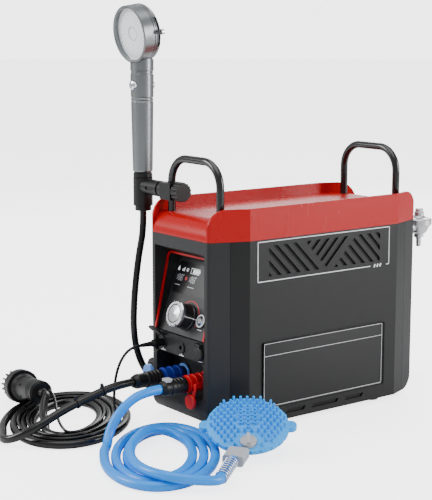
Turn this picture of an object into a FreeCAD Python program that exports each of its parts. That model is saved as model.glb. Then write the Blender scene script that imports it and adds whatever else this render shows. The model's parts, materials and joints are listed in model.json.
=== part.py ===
"""Portable propane water heater with its shower handset, pump and brush.

Millimetres, +Z up. The origin is on the ground under the middle of the case.
The control panel faces -Y, and the long sides face +X and -X.
"""
import FreeCAD, Part
import math
import os
from FreeCAD import Placement, Rotation, Vector

os.makedirs("parts", exist_ok=True)

X = Vector(1, 0, 0)
Y = Vector(0, 1, 0)
Z = Vector(0, 0, 1)

# Case
HALF_LENGTH = 210.0
HALF_WIDTH = 96.0
FACE_HALF_WIDTH = 73.0
FACET_LENGTH = 60.0
CASE_BOTTOM = 8.0
BELT = 290.0
RAIL_TOP = 338.0
TRAY_FLOOR = 321.0
SEAM = 178.0
SEAM_GAP = 0.4
WALL = 2.5
FRAME_WALL = 4.0
COVER_WALL = 3.0
RAIL = 5.0
LOWER_CORNER = 28.0
CHEEK_RADIUS = 30.0
LIP_RADIUS = 29.0
FOLD_RADIUS = 3.0
CORNER_RADIUS = 5.0
CLEAR = 0.3
FIT = 0.05

# Control panel
OPENING_HALF = 64.0
OPENING_LOW = 137.0
OPENING_TOP = 271.0
STRIP_LOW = 106.0
STRIP_DEPTH = 4.0
RECESS_HALF = 61.0
RECESS_LOW = 50.0
RECESS_BACK = -178.0
TUNNEL_WALL = 2.0
FASCIA_FOOT_Y = -204.0
FASCIA_HEAD_Y = -160.0
FASCIA_HEAD_Z = 252.0
FASCIA_THICK = 3.0
KNOB_UP = 30.0
KNOB_RADIUS = 20.5
KNOB_HEIGHT = 28.0
BUTTON_X = 35.0
BUTTON_RADIUS = 7.3
WINDOW_HALF = 60.0
WINDOW_LOW = 62.0
WINDOW_HIGH = 112.0
WINDOW_THICK = 1.2
JACK_X = 48.0
JACK_Z = 120.0

# Water ports
PORT_X = 29.0
PORT_Z = 71.0
PORT_RADIUS = 10.7
PORT_BORE = 7.0
COLLAR_BACK = -188.0
COLLAR_BORE = 11.0
COLLAR_RADIUS = 12.5
COLLAR_FLANGE = 14.0
INLET_COLLAR_END = -226.0
OUTLET_COLLAR_END = -222.0
CONNECTOR_END = -275.0
OUTLET_CONNECTOR_END = -265.0
TAB_HALF = 5.5
TAB_Y = -258.0
TAB_FLOOR = 7.5
TAB_TRAVEL = 1.8

# Handles and holder
TUBE_RADIUS = 6.0
LEG_X = 62.0
FRONT_HANDLE_Y = -179.0
REAR_HANDLE_Y = 177.0
HANDLE_TOP = 403.0
HANDLE_BEND = 38.0
LEG_FOOT = 302.0
ARM_Z = 351.5
CRADLE_X = -142.0
SLEEVE_RADIUS = 15.5
SLEEVE_BORE = 13.0
NUT_RADIUS = 12.85
DOME_RADIUS = 40.5
AXLE_RADIUS = 4.0

# Handset
HANDLE_START = 375.0
HANDSET_TOP = 556.0
HEAD_CENTRE = Vector(-142, -203, 588)
HEAD_TILT = 9.0
HEAD_RADIUS = 44.5
HEAD_DEPTH = 35.0
PLATE_DEPTH = 8.0
BUTTON_ROD = 8.0
BUTTON_Z = 510.0

# Hoses, cable and coils
SHOWER_HOSE = 11.0
BRUSH_HOSE = 14.0
PUMP_HOSE = 12.5
CABLE = 4.5
TOWARD = Vector(0.801, -0.598, 0)
ACROSS = Vector(0.598, 0.801, 0)


def box(x0, x1, y0, y1, z0, z1):
    return Part.makeBox(x1 - x0, y1 - y0, z1 - z0, Vector(x0, y0, z0))


def rod(start, axis, radius, length):
    return Part.makeCylinder(radius, length, start, axis)


def ring(start, axis, outer, inner, length):
    return rod(start, axis, outer, length).cut(rod(start, axis, inner, length))


def rounded_wire(points, radii):
    """A closed outline whose corners are rounded, each by its own radius."""
    count = len(points)
    if not isinstance(radii, (list, tuple)):
        radii = [radii] * count
    starts, ends, middles = [], [], []
    for i, point in enumerate(points):
        a = (points[i - 1] - point).normalize()
        b = (points[(i + 1) % count] - point).normalize()
        if radii[i] <= 0:
            starts.append(point)
            ends.append(point)
            middles.append(None)
            continue
        half = a.getAngle(b) / 2
        reach = radii[i] / math.tan(half)
        bisector = (a + b).normalize()
        centre = point + bisector * (radii[i] / math.sin(half))
        starts.append(point + a * reach)
        ends.append(point + b * reach)
        middles.append(centre - bisector * radii[i])
    edges = []
    for i in range(count):
        if middles[i] is not None:
            edges.append(Part.Arc(starts[i], middles[i], ends[i]).toShape())
        following = starts[(i + 1) % count]
        if (following - ends[i]).Length > 1e-6:
            edges.append(Part.LineSegment(ends[i], following).toShape())
    return Part.Wire(edges)


def prism(points, radii, depth):
    """The outline as a solid, as deep as the vector says."""
    return Part.Face(rounded_wire(points, radii)).extrude(depth)


def side_prism(profile, radii, half_width):
    """A (y, z) outline carried across the width."""
    points = [Vector(-half_width, y, z) for y, z in profile]
    return prism(points, radii, Vector(2 * half_width, 0, 0))


def turned(profile, start, axis):
    """A (radius, height) outline turned about the axis that leaves from start."""
    points = [Vector(r, 0, h) for r, h in profile]
    face = Part.Face(Part.makePolygon(points + [points[0]]))
    solid = face.revolve(Vector(0, 0, 0), Z, 360)
    solid.Placement = Placement(start, Rotation(Z, axis))
    return solid


def spun_copies(shape, centre, axis, count):
    """The shape repeated round an axis."""
    copies = []
    for i in range(count):
        copy = shape.copy()
        copy.rotate(centre, axis, 360.0 * i / count)
        copies.append(copy)
    return copies


def save(name, *solids):
    shape = solids[0] if len(solids) == 1 else Part.makeCompound(list(solids))
    shape.exportStep("parts/" + name + ".step")
    valid = shape.isValid() and len(shape.Solids) == len(solids)
    print("%-24s solids %2d  volume %10.0f  %s" % (name, len(shape.Solids), shape.Volume, valid))


def arc_edge(start, tangent, end):
    """An arc that leaves start along the tangent and reaches end."""
    chord = end - start
    along = chord * (1 / chord.Length)
    angle = tangent.getAngle(along)
    if angle < 1e-4:
        return Part.LineSegment(start, end).toShape()
    side = (tangent - along * tangent.dot(along)).normalize()
    middle = (start + end) * 0.5 + side * (chord.Length / 2 * math.tan(angle / 2))
    return Part.Arc(start, middle, end).toShape()


def biarc_wire(points, tangents):
    """A smooth path of arcs, two between each point and the next."""
    edges = []
    for i in range(len(points) - 1):
        p0, p1 = points[i], points[i + 1]
        t0, t1 = tangents[i], tangents[i + 1]
        v = p1 - p0
        t = t0 + t1
        slack = 2 * (1 - t0.dot(t1))
        if slack < 1e-8:
            reach = v.dot(v) / (4 * v.dot(t1))
        else:
            reach = (-v.dot(t) + math.sqrt(v.dot(t) ** 2 + slack * v.dot(v))) / slack
        joint = (p0 + p1 + (t0 - t1) * reach) * 0.5
        edges.append(arc_edge(p0, t0, joint))
        middle_tangent = (joint - (p0 + t0 * reach)).normalize()
        edges.append(arc_edge(joint, middle_tangent, p1))
    return Part.Wire(edges)


def swept(wire, start, tangent, radius):
    """A round tube along the wire."""
    section = Part.Wire(Part.makeCircle(radius, start, tangent))
    tube = wire.makePipeShell([section], True, False)
    return tube if tube.ShapeType == "Solid" else tube.Solids[0]


def cord_tube(name, points, diameter):
    """A free stretch: straight runs joined by arcs as large as the runs allow."""
    edges = []
    here = points[0]
    radii = []
    for i in range(1, len(points) - 1):
        before = points[i] - points[i - 1]
        after = points[i + 1] - points[i]
        turn = before.getAngle(after)
        shorter = min(before.Length, after.Length)
        reach = 0.45 * shorter
        radii.append(reach / math.tan(turn / 2))
        a = before * (-1 / before.Length)
        b = after * (1 / after.Length)
        start = points[i] + a * reach
        end = points[i] + b * reach
        edges.append(Part.LineSegment(here, start).toShape())
        edges.append(arc_edge(start, a * -1, end))
        here = end
    edges.append(Part.LineSegment(here, points[-1]).toShape())
    wire = Part.Wire(edges)
    tube = swept(wire, points[0], points[1] - points[0], diameter / 2)
    expected = math.pi * diameter ** 2 / 4 * wire.Length
    text = " ".join("%.0f" % r for r in radii)
    print(name, "radii", text, "length %.0f volume ratio %.3f" % (wire.Length, tube.Volume / expected))
    return tube


def coil_tube(name, points, diameter, start_tangent, end_tangent, straight_end=False):
    """A wound stretch as one unbroken tube through the points, its ends square to what they meet."""
    tangents = [Vector(start_tangent).normalize()]
    for i in range(1, len(points) - 1):
        along = points[i + 1] - points[i - 1]
        if (points[i].z - points[i - 1].z) * (points[i + 1].z - points[i].z) < 0.001:
            along.z = 0
        tangents.append(along.normalize())
    tangents.append(Vector(end_tangent).normalize())
    if straight_end:
        tangents[-2] = tangents[-1]
    wire = biarc_wire(points, tangents)
    tube = swept(wire, points[0], tangents[0], diameter / 2)
    samples = wire.discretize(Number=int(wire.Length / 4))
    apart = int(3 * diameter / 4) + 2
    pairs = ((i, j) for i in range(len(samples)) for j in range(i + apart, len(samples)))
    nearest = min(pairs, key=lambda pair: (samples[pair[0]] - samples[pair[1]]).Length)
    gap = (samples[nearest[0]] - samples[nearest[1]]).Length
    expected = math.pi * diameter ** 2 / 4 * wire.Length
    print(name, "length %.0f self gap %.2f volume ratio %.3f valid %s"
          % (wire.Length, gap - diameter, tube.Volume / expected, tube.isValid()), samples[nearest[0]])
    return tube


def plan_points(inset, z, shrink_x=0.0):
    """The case outline seen from above, moved inwards by the inset."""
    slope = (HALF_WIDTH - FACE_HALF_WIDTH) / FACET_LENGTH
    nx = 1 / math.hypot(1, slope)
    ny = slope * nx
    crease_x = HALF_WIDTH - inset - shrink_x
    crease_y = HALF_LENGTH - FACET_LENGTH - inset * (1 - nx) / ny
    face_x = FACE_HALF_WIDTH - inset * (1 - ny) / nx - shrink_x
    face_y = HALF_LENGTH - inset
    corners = [(crease_x, -crease_y), (crease_x, crease_y), (face_x, face_y), (-face_x, face_y)]
    corners += [(-crease_x, crease_y), (-crease_x, -crease_y), (-face_x, -face_y), (face_x, -face_y)]
    return [Vector(x, y, z) for x, y in corners]


def plan_solid(inset, z0, z1):
    fold = max(FOLD_RADIUS - inset, 0.5)
    corner = max(CORNER_RADIUS - inset, 0.5)
    radii = [fold, fold, corner, corner, fold, fold, corner, corner]
    return prism(plan_points(inset, z0), radii, Vector(0, 0, z1 - z0))


FASCIA_TURN = math.degrees(math.atan2(FASCIA_HEAD_Z - OPENING_LOW, FASCIA_HEAD_Y - FASCIA_FOOT_Y))
FASCIA_PLACE = Placement(Vector(0, FASCIA_FOOT_Y, OPENING_LOW), Rotation(X, FASCIA_TURN))
FASCIA_LENGTH = math.hypot(FASCIA_HEAD_Z - OPENING_LOW, FASCIA_HEAD_Y - FASCIA_FOOT_Y)
FASCIA_OUT = FASCIA_PLACE.Rotation.multVec(Z)


def on_fascia(shape):
    """A shape drawn flat, x across, y up the slope, z outwards, laid on the sloping panel."""
    shape.Placement = FASCIA_PLACE.multiply(shape.Placement)
    return shape


def slope_outline(depth, grow):
    """The recess above the sloping panel, as a (y, z) outline, with its walls moved out by grow."""
    back = FASCIA_THICK + depth
    drop = back / math.sin(math.radians(FASCIA_TURN))
    return [
        (-HALF_LENGTH - 1, OPENING_LOW - grow),
        (FASCIA_FOOT_Y + drop - grow * 0.38, OPENING_LOW - grow),
        (FASCIA_HEAD_Y + drop + grow * 0.38, FASCIA_HEAD_Z + grow),
        (FASCIA_HEAD_Y - 4, FASCIA_HEAD_Z + 1.54 + grow),
        (-HALF_LENGTH - 1, OPENING_TOP + 0.6 + grow),
    ]


def corner_profile(inset):
    """The end frame seen from the side: square above, round at its lower edge."""
    edge = HALF_LENGTH - inset
    low = CASE_BOTTOM + inset
    return [(-edge, low), (0, low), (0, BELT - inset), (-edge, BELT - inset)]


def end_shell(wall):
    """A moulded end frame, open towards the inside of the case."""
    outer = plan_solid(0, CASE_BOTTOM, BELT - SEAM_GAP / 2)
    outer = outer.common(side_prism(corner_profile(0), [LOWER_CORNER, 0, 0, 0], HALF_WIDTH + 5))
    inner = plan_solid(wall, CASE_BOTTOM, BELT)
    profile = corner_profile(wall)
    inner = inner.common(side_prism(profile, [LOWER_CORNER - wall, 0, 0, 0], HALF_WIDTH + 5))
    band = box(-HALF_WIDTH - 5, HALF_WIDTH + 5, -HALF_LENGTH - 5, -SEAM - SEAM_GAP / 2, 0, BELT)
    return outer.cut(inner).common(band)


def front_frame():
    shape = end_shell(FRAME_WALL)
    half = OPENING_HALF + TUNNEL_WALL
    face = -HALF_LENGTH + 1
    outer = slope_outline(0, TUNNEL_WALL)
    outer[0] = (face, outer[0][1])
    outer[-1] = (face, outer[-1][1])
    shape = shape.fuse(side_prism(outer, 0, half))
    strip_back = -HALF_LENGTH + STRIP_DEPTH
    shape = shape.fuse(box(-half, half, strip_back, strip_back + FRAME_WALL, STRIP_LOW - 2, OPENING_LOW + 1))
    recess = RECESS_HALF + TUNNEL_WALL
    shape = shape.fuse(box(-recess, recess, face, RECESS_BACK + 2, RECESS_LOW - 2, STRIP_LOW + 2))
    opening = [Vector(x, -HALF_LENGTH - 1, z) for x, z in
               [(-OPENING_HALF, STRIP_LOW), (OPENING_HALF, STRIP_LOW),
                (OPENING_HALF, OPENING_TOP), (-OPENING_HALF, OPENING_TOP)]]
    shape = shape.cut(prism(opening, [0, 0, 8, 8], Vector(0, STRIP_DEPTH + 1, 0)))
    shape = shape.cut(side_prism(slope_outline(0.2, 0), 0, OPENING_HALF))
    pocket = [Vector(x, -HALF_LENGTH - 1, z) for x, z in
              [(-RECESS_HALF, RECESS_LOW), (RECESS_HALF, RECESS_LOW),
               (RECESS_HALF, STRIP_LOW), (-RECESS_HALF, STRIP_LOW)]]
    shape = shape.cut(prism(pocket, [6, 6, 6, 6], Vector(0, RECESS_BACK + HALF_LENGTH + 1, 0)))
    for x in (-PORT_X, PORT_X):
        shape = shape.cut(rod(Vector(x, RECESS_BACK - 1, PORT_Z), Y, 12.0, 5))
    for x in (-JACK_X, 0, JACK_X):
        shape = shape.cut(rod(Vector(x, strip_back - 1, JACK_Z), Y, 6.6, FRAME_WALL + 2))
    shape = shape.cut(rod(DRAIN_SEAT - DRAIN_AXIS * 8, DRAIN_AXIS, 5.1, 10))
    return shape.fuse(hinge_lugs(-JACK_X) + hinge_lugs(JACK_X))


DRAIN_Y = -197.0
DRAIN_Z = 76.0
DRAIN_AXIS = Vector(-FACET_LENGTH, -(HALF_WIDTH - FACE_HALF_WIDTH), 0).normalize()
DRAIN_SEAT = Vector(
    -FACE_HALF_WIDTH - (HALF_LENGTH + DRAIN_Y) * (HALF_WIDTH - FACE_HALF_WIDTH) / FACET_LENGTH, DRAIN_Y, DRAIN_Z)

GAS_X = 50.0
GAS_Y = 245.0
GAS_Z = 272.0
REAR_SCREWS = [(x, z) for x in (-60, 60) for z in (46, 236)]


def rear_panel():
    shape = end_shell(WALL)
    shape.rotate(Vector(0, 0, 0), Z, 180)
    shape = shape.cut(rod(Vector(GAS_X, HALF_LENGTH - 6, GAS_Z), Y, 8.1, 10))
    for x, z in REAR_SCREWS:
        shape = shape.cut(rod(Vector(x, HALF_LENGTH - 6, z), Y, 1.9, 10))
    for row in range(7):
        z = 70 + row * 12
        slot = [Vector(x, HALF_LENGTH - 6, h) for x, h in ((-38, z), (38, z), (38, z + 5), (-38, z + 5))]
        shape = shape.cut(prism(slot, 2.4, Vector(0, 10, 0)))
    return shape


GRILLE_Y0 = -114.0
GRILLE_Y1 = 112.0
GRILLE_Z0 = 234.0
GRILLE_Z1 = 280.0
SLOT_PITCH = 18.6
SLOT_WIDTH = 8.0


def slot_solids():
    """The slanted grille slots of the +X side: three groups that lean against one another."""
    height = GRILLE_Z1 - GRILLE_Z0
    window = [(GRILLE_Y0, GRILLE_Z0), (GRILLE_Y1, GRILLE_Z0), (GRILLE_Y1, GRILLE_Z1), (GRILLE_Y0, GRILLE_Z1)]
    frame = side_slab(window)
    slots = []
    for k in range(6):
        y = -23 - SLOT_PITCH * k
        bar = [(y, GRILLE_Z0), (y + SLOT_WIDTH, GRILLE_Z0)]
        bar += [(y + SLOT_WIDTH - height, GRILLE_Z1), (y - height, GRILLE_Z1)]
        slots.append(side_slab(bar).common(frame))
    right_of = side_slab([(2, GRILLE_Z0 - 1), (60, GRILLE_Z0 - 1), (60, GRILLE_Z1 + 1), (-44, GRILLE_Z1 + 1)])
    for k in range(5):
        y = 35 - SLOT_PITCH * k
        bar = [(y - height, GRILLE_Z0), (y - height + SLOT_WIDTH, GRILLE_Z0)]
        bar += [(y + SLOT_WIDTH, GRILLE_Z1), (y, GRILLE_Z1)]
        slots.append(side_slab(bar).common(right_of))
    beyond = side_slab([(14, GRILLE_Z0 - 1), (120, GRILLE_Z0 - 1), (120, GRILLE_Z1 + 1), (62, GRILLE_Z1 + 1)])
    for k in range(8):
        y = 16.4 + SLOT_PITCH * k
        bar = [(y, GRILLE_Z0), (y + SLOT_WIDTH, GRILLE_Z0)]
        bar += [(y + SLOT_WIDTH - height, GRILLE_Z1), (y - height, GRILLE_Z1)]
        slots.append(side_slab(bar).common(frame).common(beyond))
    return [s for s in slots if s.Solids and s.Volume > 40]


def side_slab(outline):
    """A (y, z) outline as a cutter through the +X wall."""
    points = [Vector(HALF_WIDTH - 6, y, z) for y, z in outline]
    return prism(points, 0, Vector(12, 0, 0))


def side_panel():
    """The +X side sheet, folded round both facets to the end frames."""
    top = BELT - SEAM_GAP / 2
    shape = plan_solid(0, CASE_BOTTOM, top).cut(plan_solid(WALL, CASE_BOTTOM - 1, top + 1))
    shape = shape.common(box(20, HALF_WIDTH + 5, -SEAM + SEAM_GAP / 2, SEAM - SEAM_GAP / 2, 0, BELT))
    for slot in slot_solids():
        shape = shape.cut(slot)
    for y0, y1 in ((-79, -39), (-27, 29), (42, 82)):
        shape = shape.cut(side_slab([(y0, 17), (y1 - 4, 17), (y1, 23), (y0 + 4, 23)]))
    return shape


def cheek_profile(y_edge, top, radius, base):
    """(y, z) outline of the cover: flat on top and rounded down to both ends, as a wire at x."""
    return [(-y_edge, base), (y_edge, base), (y_edge, top), (-y_edge, top)], [0, 0, radius, radius]


def top_cover():
    shape = plan_solid(0, BELT, RAIL_TOP)
    profile, radii = cheek_profile(HALF_LENGTH, RAIL_TOP, CHEEK_RADIUS, BELT)
    shape = shape.common(side_prism(profile, radii, HALF_WIDTH + 5))
    tray = prism(plan_points(-6, BELT - 1, RAIL + 6), 0, Vector(0, 0, 60))
    lip, lip_radii = cheek_profile(HALF_LENGTH, TRAY_FLOOR, LIP_RADIUS, BELT - 20)
    tray = tray.cut(side_prism(lip, lip_radii, HALF_WIDTH + 5))
    shape = shape.cut(tray)
    cavity = plan_solid(COVER_WALL, BELT - 1, TRAY_FLOOR)
    inner, inner_radii = cheek_profile(
        HALF_LENGTH - COVER_WALL, TRAY_FLOOR - COVER_WALL, LIP_RADIUS - COVER_WALL, BELT - 20)
    shape = shape.cut(cavity.common(side_prism(inner, inner_radii, HALF_WIDTH + 5)))
    for x, y in LEGS:
        shape = shape.fuse(rod(Vector(x, y, LEG_FOOT - 2), Z, 9, TRAY_FLOOR - LEG_FOOT))
    for x, y in LEGS:
        shape = shape.cut(rod(Vector(x, y, LEG_FOOT - CLEAR), Z, TUBE_RADIUS + FIT, 40))
    return shape


LEGS = [(x, y) for x in (-LEG_X, LEG_X) for y in (FRONT_HANDLE_Y, REAR_HANDLE_Y)]


def handle(y, top):
    """A round tube bent into a carrying handle."""
    bend = HANDLE_BEND
    flat = LEG_X - bend
    low = Vector(-LEG_X, y, LEG_FOOT)
    corner = bend * (1 - math.sqrt(0.5))
    edges = [
        Part.LineSegment(low, Vector(-LEG_X, y, top - bend)).toShape(),
        Part.Arc(Vector(-LEG_X, y, top - bend), Vector(-LEG_X + corner, y, top - corner),
                 Vector(-flat, y, top)).toShape(),
        Part.LineSegment(Vector(-flat, y, top), Vector(flat, y, top)).toShape(),
        Part.Arc(Vector(flat, y, top), Vector(LEG_X - corner, y, top - corner),
                 Vector(LEG_X, y, top - bend)).toShape(),
        Part.LineSegment(Vector(LEG_X, y, top - bend), Vector(LEG_X, y, LEG_FOOT)).toShape(),
    ]
    return swept(Part.Wire(edges), low, Z, TUBE_RADIUS)


def base_pan():
    plate = plan_solid(WALL + CLEAR, CASE_BOTTOM, CASE_BOTTOM + 7)
    plate = plate.cut(plan_solid(WALL + CLEAR + 1.5, CASE_BOTTOM + 2, CASE_BOTTOM + 8))
    return plate.common(box(-100, 100, -SEAM + 0.3, SEAM - 0.3, 0, 30))


def feet():
    profile = [(0, 0), (11, 0), (12, 1), (12, 4), (13, CASE_BOTTOM), (0, CASE_BOTTOM)]
    return [turned(profile, Vector(x, y, 0), Z) for x in (-70, 70) for y in (-123, 123)]


def screws():
    profile = [(0, -7), (1.8, -7), (1.8, 0), (3.6, 0), (3.4, 1.2), (2.4, 1.9), (1.2, 1.9), (1.2, 0.9), (0, 0.9)]
    return [turned(profile, Vector(x, HALF_LENGTH, z), Y) for x, z in REAR_SCREWS]


EXCHANGER_HALF = 55.0
EXCHANGER_LOW = 150.0
EXCHANGER_TOP = 262.0


def heat_exchanger():
    """Copper fire box with fins across its upper part and the water tube through them."""
    half = EXCHANGER_HALF
    shell = box(-half, half, -45, 75, EXCHANGER_LOW, EXCHANGER_TOP)
    shell = shell.cut(box(-half + 2, half - 2, -43, 73, EXCHANGER_LOW - 1, EXCHANGER_TOP + 1))
    for i in range(16):
        x = -half + 7 + i * 6.4
        shell = shell.fuse(box(x, x + 1.2, -43.5, 73.5, 226, 256))
    for y in (-25, 15, 55):
        shell = shell.fuse(rod(Vector(-half - 6, y, 241), X, 8, 2 * half + 12))
    shell = shell.fuse(box(half + 1, half + 8, 10, 60, 234, 248))
    shell = shell.fuse(box(-half - 8, -half - 1, -30, 20, 234, 248))
    legs = [box(x, x + 8, y, y + 8, CASE_BOTTOM + 2, EXCHANGER_LOW + 1)
            for x in (-half, half - 8) for y in (-45, 67)]
    return shell.fuse(legs).removeSplitter()


def burner():
    """Row of burner bars on their gas rail, with the igniter beside them."""
    rail = box(-44, 44, -38, -24, 96, 112)
    for i in range(6):
        x = -41 + i * 14.6
        rail = rail.fuse(box(x, x + 9, -25, 66, 100, 130))
    for x in (-44, 36):
        rail = rail.fuse(box(x, x + 8, -36, -26, CASE_BOTTOM + 2, 97))
    rail = rail.fuse(box(-46.8, 46.8, 60, 66.8, 104, 112))
    rail = rail.fuse(box(-46.8, 46.8, -44.8, -37, 98, 104))
    return rail.removeSplitter()


def gas_valve():
    body = box(10, 50, -110, -76, 60, 96).fuse(rod(Vector(30, -93, 96), Z, 11, 24))
    body = body.fuse(rod(Vector(30, -76, 78), Y, 7, 12))
    return body.fuse(box(14, 46, -106, -80, CASE_BOTTOM + 2, 60))


def water_valve():
    body = rod(Vector(-PORT_X, -140, PORT_Z), Y, 13, 46)
    body = body.fuse(rod(Vector(-PORT_X, -167.7, PORT_Z), Y, 9, 28))
    body = body.fuse(box(-PORT_X - 16, -PORT_X + 16, -130, -104, 56, 92))
    return body.fuse(box(-PORT_X - 12, -PORT_X + 12, -128, -106, CASE_BOTTOM + 2, 57))


def pipework():
    """Cold and hot water pipes and the gas pipe, each one bent tube."""
    cold = cord_tube("cold pipe", [Vector(-PORT_X, -93.7, PORT_Z), Vector(-PORT_X, -70, PORT_Z),
                                   Vector(-76, -50, 105), Vector(-76, 0, 160),
                                   Vector(-76, 42, 215), Vector(-76, 55, 241), Vector(-61.3, 55, 241)], 10)
    hot = cord_tube("hot pipe", [Vector(PORT_X, -167.7, PORT_Z), Vector(PORT_X, -140, PORT_Z),
                                 Vector(76, -120, 100), Vector(76, -90, 170),
                                 Vector(76, -25, 240), Vector(61.3, -25, 241)], 10)
    gas = cord_tube("gas pipe", [Vector(GAS_X, 199.7, GAS_Z), Vector(GAS_X, 170, GAS_Z),
                                 Vector(78, 140, 220), Vector(78, 100, 150), Vector(78, 20, 100),
                                 Vector(80, -60, 80), Vector(74, -93, 78), Vector(50.3, -93, 78)], 8)
    return [cold, hot, gas]


def battery_pack():
    """Four cells in a tray at the back of the case."""
    tray = box(-64, 64, 100, 172, CASE_BOTTOM + 2, 60).cut(box(-62, 62, 102, 170, 14, 61))
    cells = [rod(Vector(x, 136, 16), Z, 13, 60) for x in (-46, -15.4, 15.4, 46)]
    return [tray.fuse([box(-62.5, 62.5, 130, 142, 13, 16)]), *cells]


def fascia_plate(half, low, high, bottom, top, radius):
    points = [Vector(x, y, bottom) for x, y in ((-half, low), (half, low), (half, high), (-half, high))]
    return prism(points, radius, Vector(0, 0, top - bottom))


def control_fascia():
    shape = fascia_plate(OPENING_HALF - 0.2, 1.4, FASCIA_LENGTH - 0.5, -FASCIA_THICK, 0, 0)
    shape = shape.cut(fascia_plate(WINDOW_HALF + 0.1, WINDOW_LOW - 0.1, WINDOW_HIGH + 0.1,
                                   -WINDOW_THICK - 0.1, 1, 5))
    shape = shape.fuse(ring(Vector(BUTTON_X, KNOB_UP, -0.5), Z, 10.5, BUTTON_RADIUS, 3.5))
    shape = shape.cut(rod(Vector(BUTTON_X, KNOB_UP, -4), Z, BUTTON_RADIUS + 0.2, 9))
    shape = shape.cut(rod(Vector(0, KNOB_UP, -4), Z, 4 + FIT, 8))
    return on_fascia(shape)


def display_window():
    return on_fascia(fascia_plate(WINDOW_HALF, WINDOW_LOW, WINDOW_HIGH, -WINDOW_THICK, 0.2, 5))


def accent_trim():
    """Thin coloured band round the recess, leaning back along its walls and roof."""
    lean = math.degrees(math.atan2(261 - 141, -183 + 209))
    place = Placement(Vector(0, -209, 141), Rotation(X, lean))
    half = OPENING_HALF - 0.2
    outer = [Vector(x, y, 0) for x, y in ((-half, 0), (half, 0), (half, 121), (-half, 121))]
    inner = [Vector(x, y, -1) for x, y in ((3 - half, -1), (half - 3, -1), (half - 3, 118), (3 - half, 118))]
    band = prism(outer, [0, 0, 9, 9], Vector(0, 0, 2.5)).cut(prism(inner, [0, 0, 6, 6], Vector(0, 0, 5)))
    band.Placement = place
    room = side_prism(slope_outline(0, -0.3), 0, half)
    sill = box(-100, 100, -300, -100, 0, OPENING_LOW + 1)
    panel = on_fascia(box(-80, 80, -10, 200, -20, 0.3))
    return band.common(room).cut(sill).cut(panel)


def control_board():
    """Circuit board on pillars behind the panel, with its display block."""
    board = box(-56, 56, 14, 116, -15, -13)
    for x in (-50, 50):
        for y in (20, 110):
            board = board.fuse(rod(Vector(x, y, -13.2), Z, 3, 13.2 - FASCIA_THICK - 0.0))
    board = board.fuse(box(-58, 58, 66, 108, -13.2, -FASCIA_THICK - 0.3))
    board = board.cut(rod(Vector(0, KNOB_UP, -20), Z, 4.5, 20))
    board = board.fuse(box(-12, 12, 20, 40, -13.2, -9).cut(rod(Vector(0, KNOB_UP, -20), Z, 4.5, 20)))
    return on_fascia(board.removeSplitter())


def control_knob():
    height = KNOB_HEIGHT
    skirt = [(0, CLEAR), (KNOB_RADIUS, CLEAR), (KNOB_RADIUS, 4), (KNOB_RADIUS - 1.2, 5),
             (KNOB_RADIUS - 1.8, height - 7), (KNOB_RADIUS - 0.4, height - 6), (KNOB_RADIUS - 0.4, height - 1.6),
             (KNOB_RADIUS - 2, height), (14.6, height), (14.2, height - 0.8), (13.6, height - 0.8),
             (13.2, height - 0.2), (0, height + 0.6)]
    knob = turned(skirt, Vector(0, KNOB_UP, 0), Z).fuse(rod(Vector(0, KNOB_UP, -9), Z, 4, 10))
    flute = rod(Vector(KNOB_RADIUS + 0.7, KNOB_UP, 6), Z, 2.2, height - 15)
    for cut in spun_copies(flute, Vector(0, KNOB_UP, 0), Z, 24):
        knob = knob.cut(cut)
    return on_fascia(knob)


def power_button():
    profile = [(0, -4), (BUTTON_RADIUS - 0.1, -4), (BUTTON_RADIUS - 0.1, 4), (BUTTON_RADIUS - 0.9, 5),
               (4, 4.6), (0, 4.4)]
    return on_fascia(turned(profile, Vector(BUTTON_X, KNOB_UP, 0), Z))


def port_jacks():
    """Three sockets in the strip: power in, USB and sensor, each a bezel on a barrel."""
    face = -HALF_LENGTH + STRIP_DEPTH
    profile = [(3.2, 2), (8.4, 2), (9, 1.4), (9, 0), (6.5, 0), (6.5, -16), (0, -16), (0, -14), (3.2, -14)]
    return [turned(profile, Vector(x, face, JACK_Z), Y * -1) for x in (-JACK_X, 0, JACK_X)]


CAP_HINGE_Y = -211.0
CAP_HINGE_Z = 133.5
CAP_OPEN = 130.0


def jack_cap(x):
    """A soft cover over a socket, closed, with its hinge knuckle above."""
    face = -HALF_LENGTH + STRIP_DEPTH - 2 - CLEAR
    profile = [(0, 0), (7.6, 0), (10.6, 0), (11, 1), (10.4, 3), (8.6, 4.2), (0, 4.6)]
    cap = turned(profile, Vector(x, face, JACK_Z), Y * -1)
    cap = cap.fuse(box(x - 4, x + 4, face - 3, face - 0.6, JACK_Z + 8, CAP_HINGE_Z))
    return cap.fuse(rod(Vector(x - 4, CAP_HINGE_Y, CAP_HINGE_Z), X, 1.8, 8)).removeSplitter()


def open_jack_cap():
    """The same cover swung up, clear of the power plug."""
    cap = jack_cap(-JACK_X)
    cap.rotate(Vector(0, CAP_HINGE_Y, CAP_HINGE_Z), X, -CAP_OPEN)
    return cap


def hinge_lugs(x):
    """Two ears on the strip that hold a socket cover's pin."""
    wall = -HALF_LENGTH + STRIP_DEPTH
    ears = []
    for side in (-1, 1):
        a = x + side * 4.3
        b = x + side * 6.8
        ears.append(box(min(a, b), max(a, b), CAP_HINGE_Y - 2, wall + 1, CAP_HINGE_Z - 2, CAP_HINGE_Z + 2))
    return ears


def water_ports():
    """Barbed sockets on the recess wall, one for each hose."""
    profile = [(PORT_BORE, 0), (15.5, 0), (15.5, 2), (PORT_RADIUS, 2), (PORT_RADIUS, 33),
               (PORT_RADIUS - 0.8, 34), (PORT_BORE, 34)]
    ports = []
    for x in (-PORT_X, PORT_X):
        body = turned(profile, Vector(x, RECESS_BACK, PORT_Z), Y * -1)
        body = body.fuse(ring(Vector(x, RECESS_BACK, PORT_Z), Y, 11.5, PORT_BORE - 2, 10))
        ports.append(body)
    return ports


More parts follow.
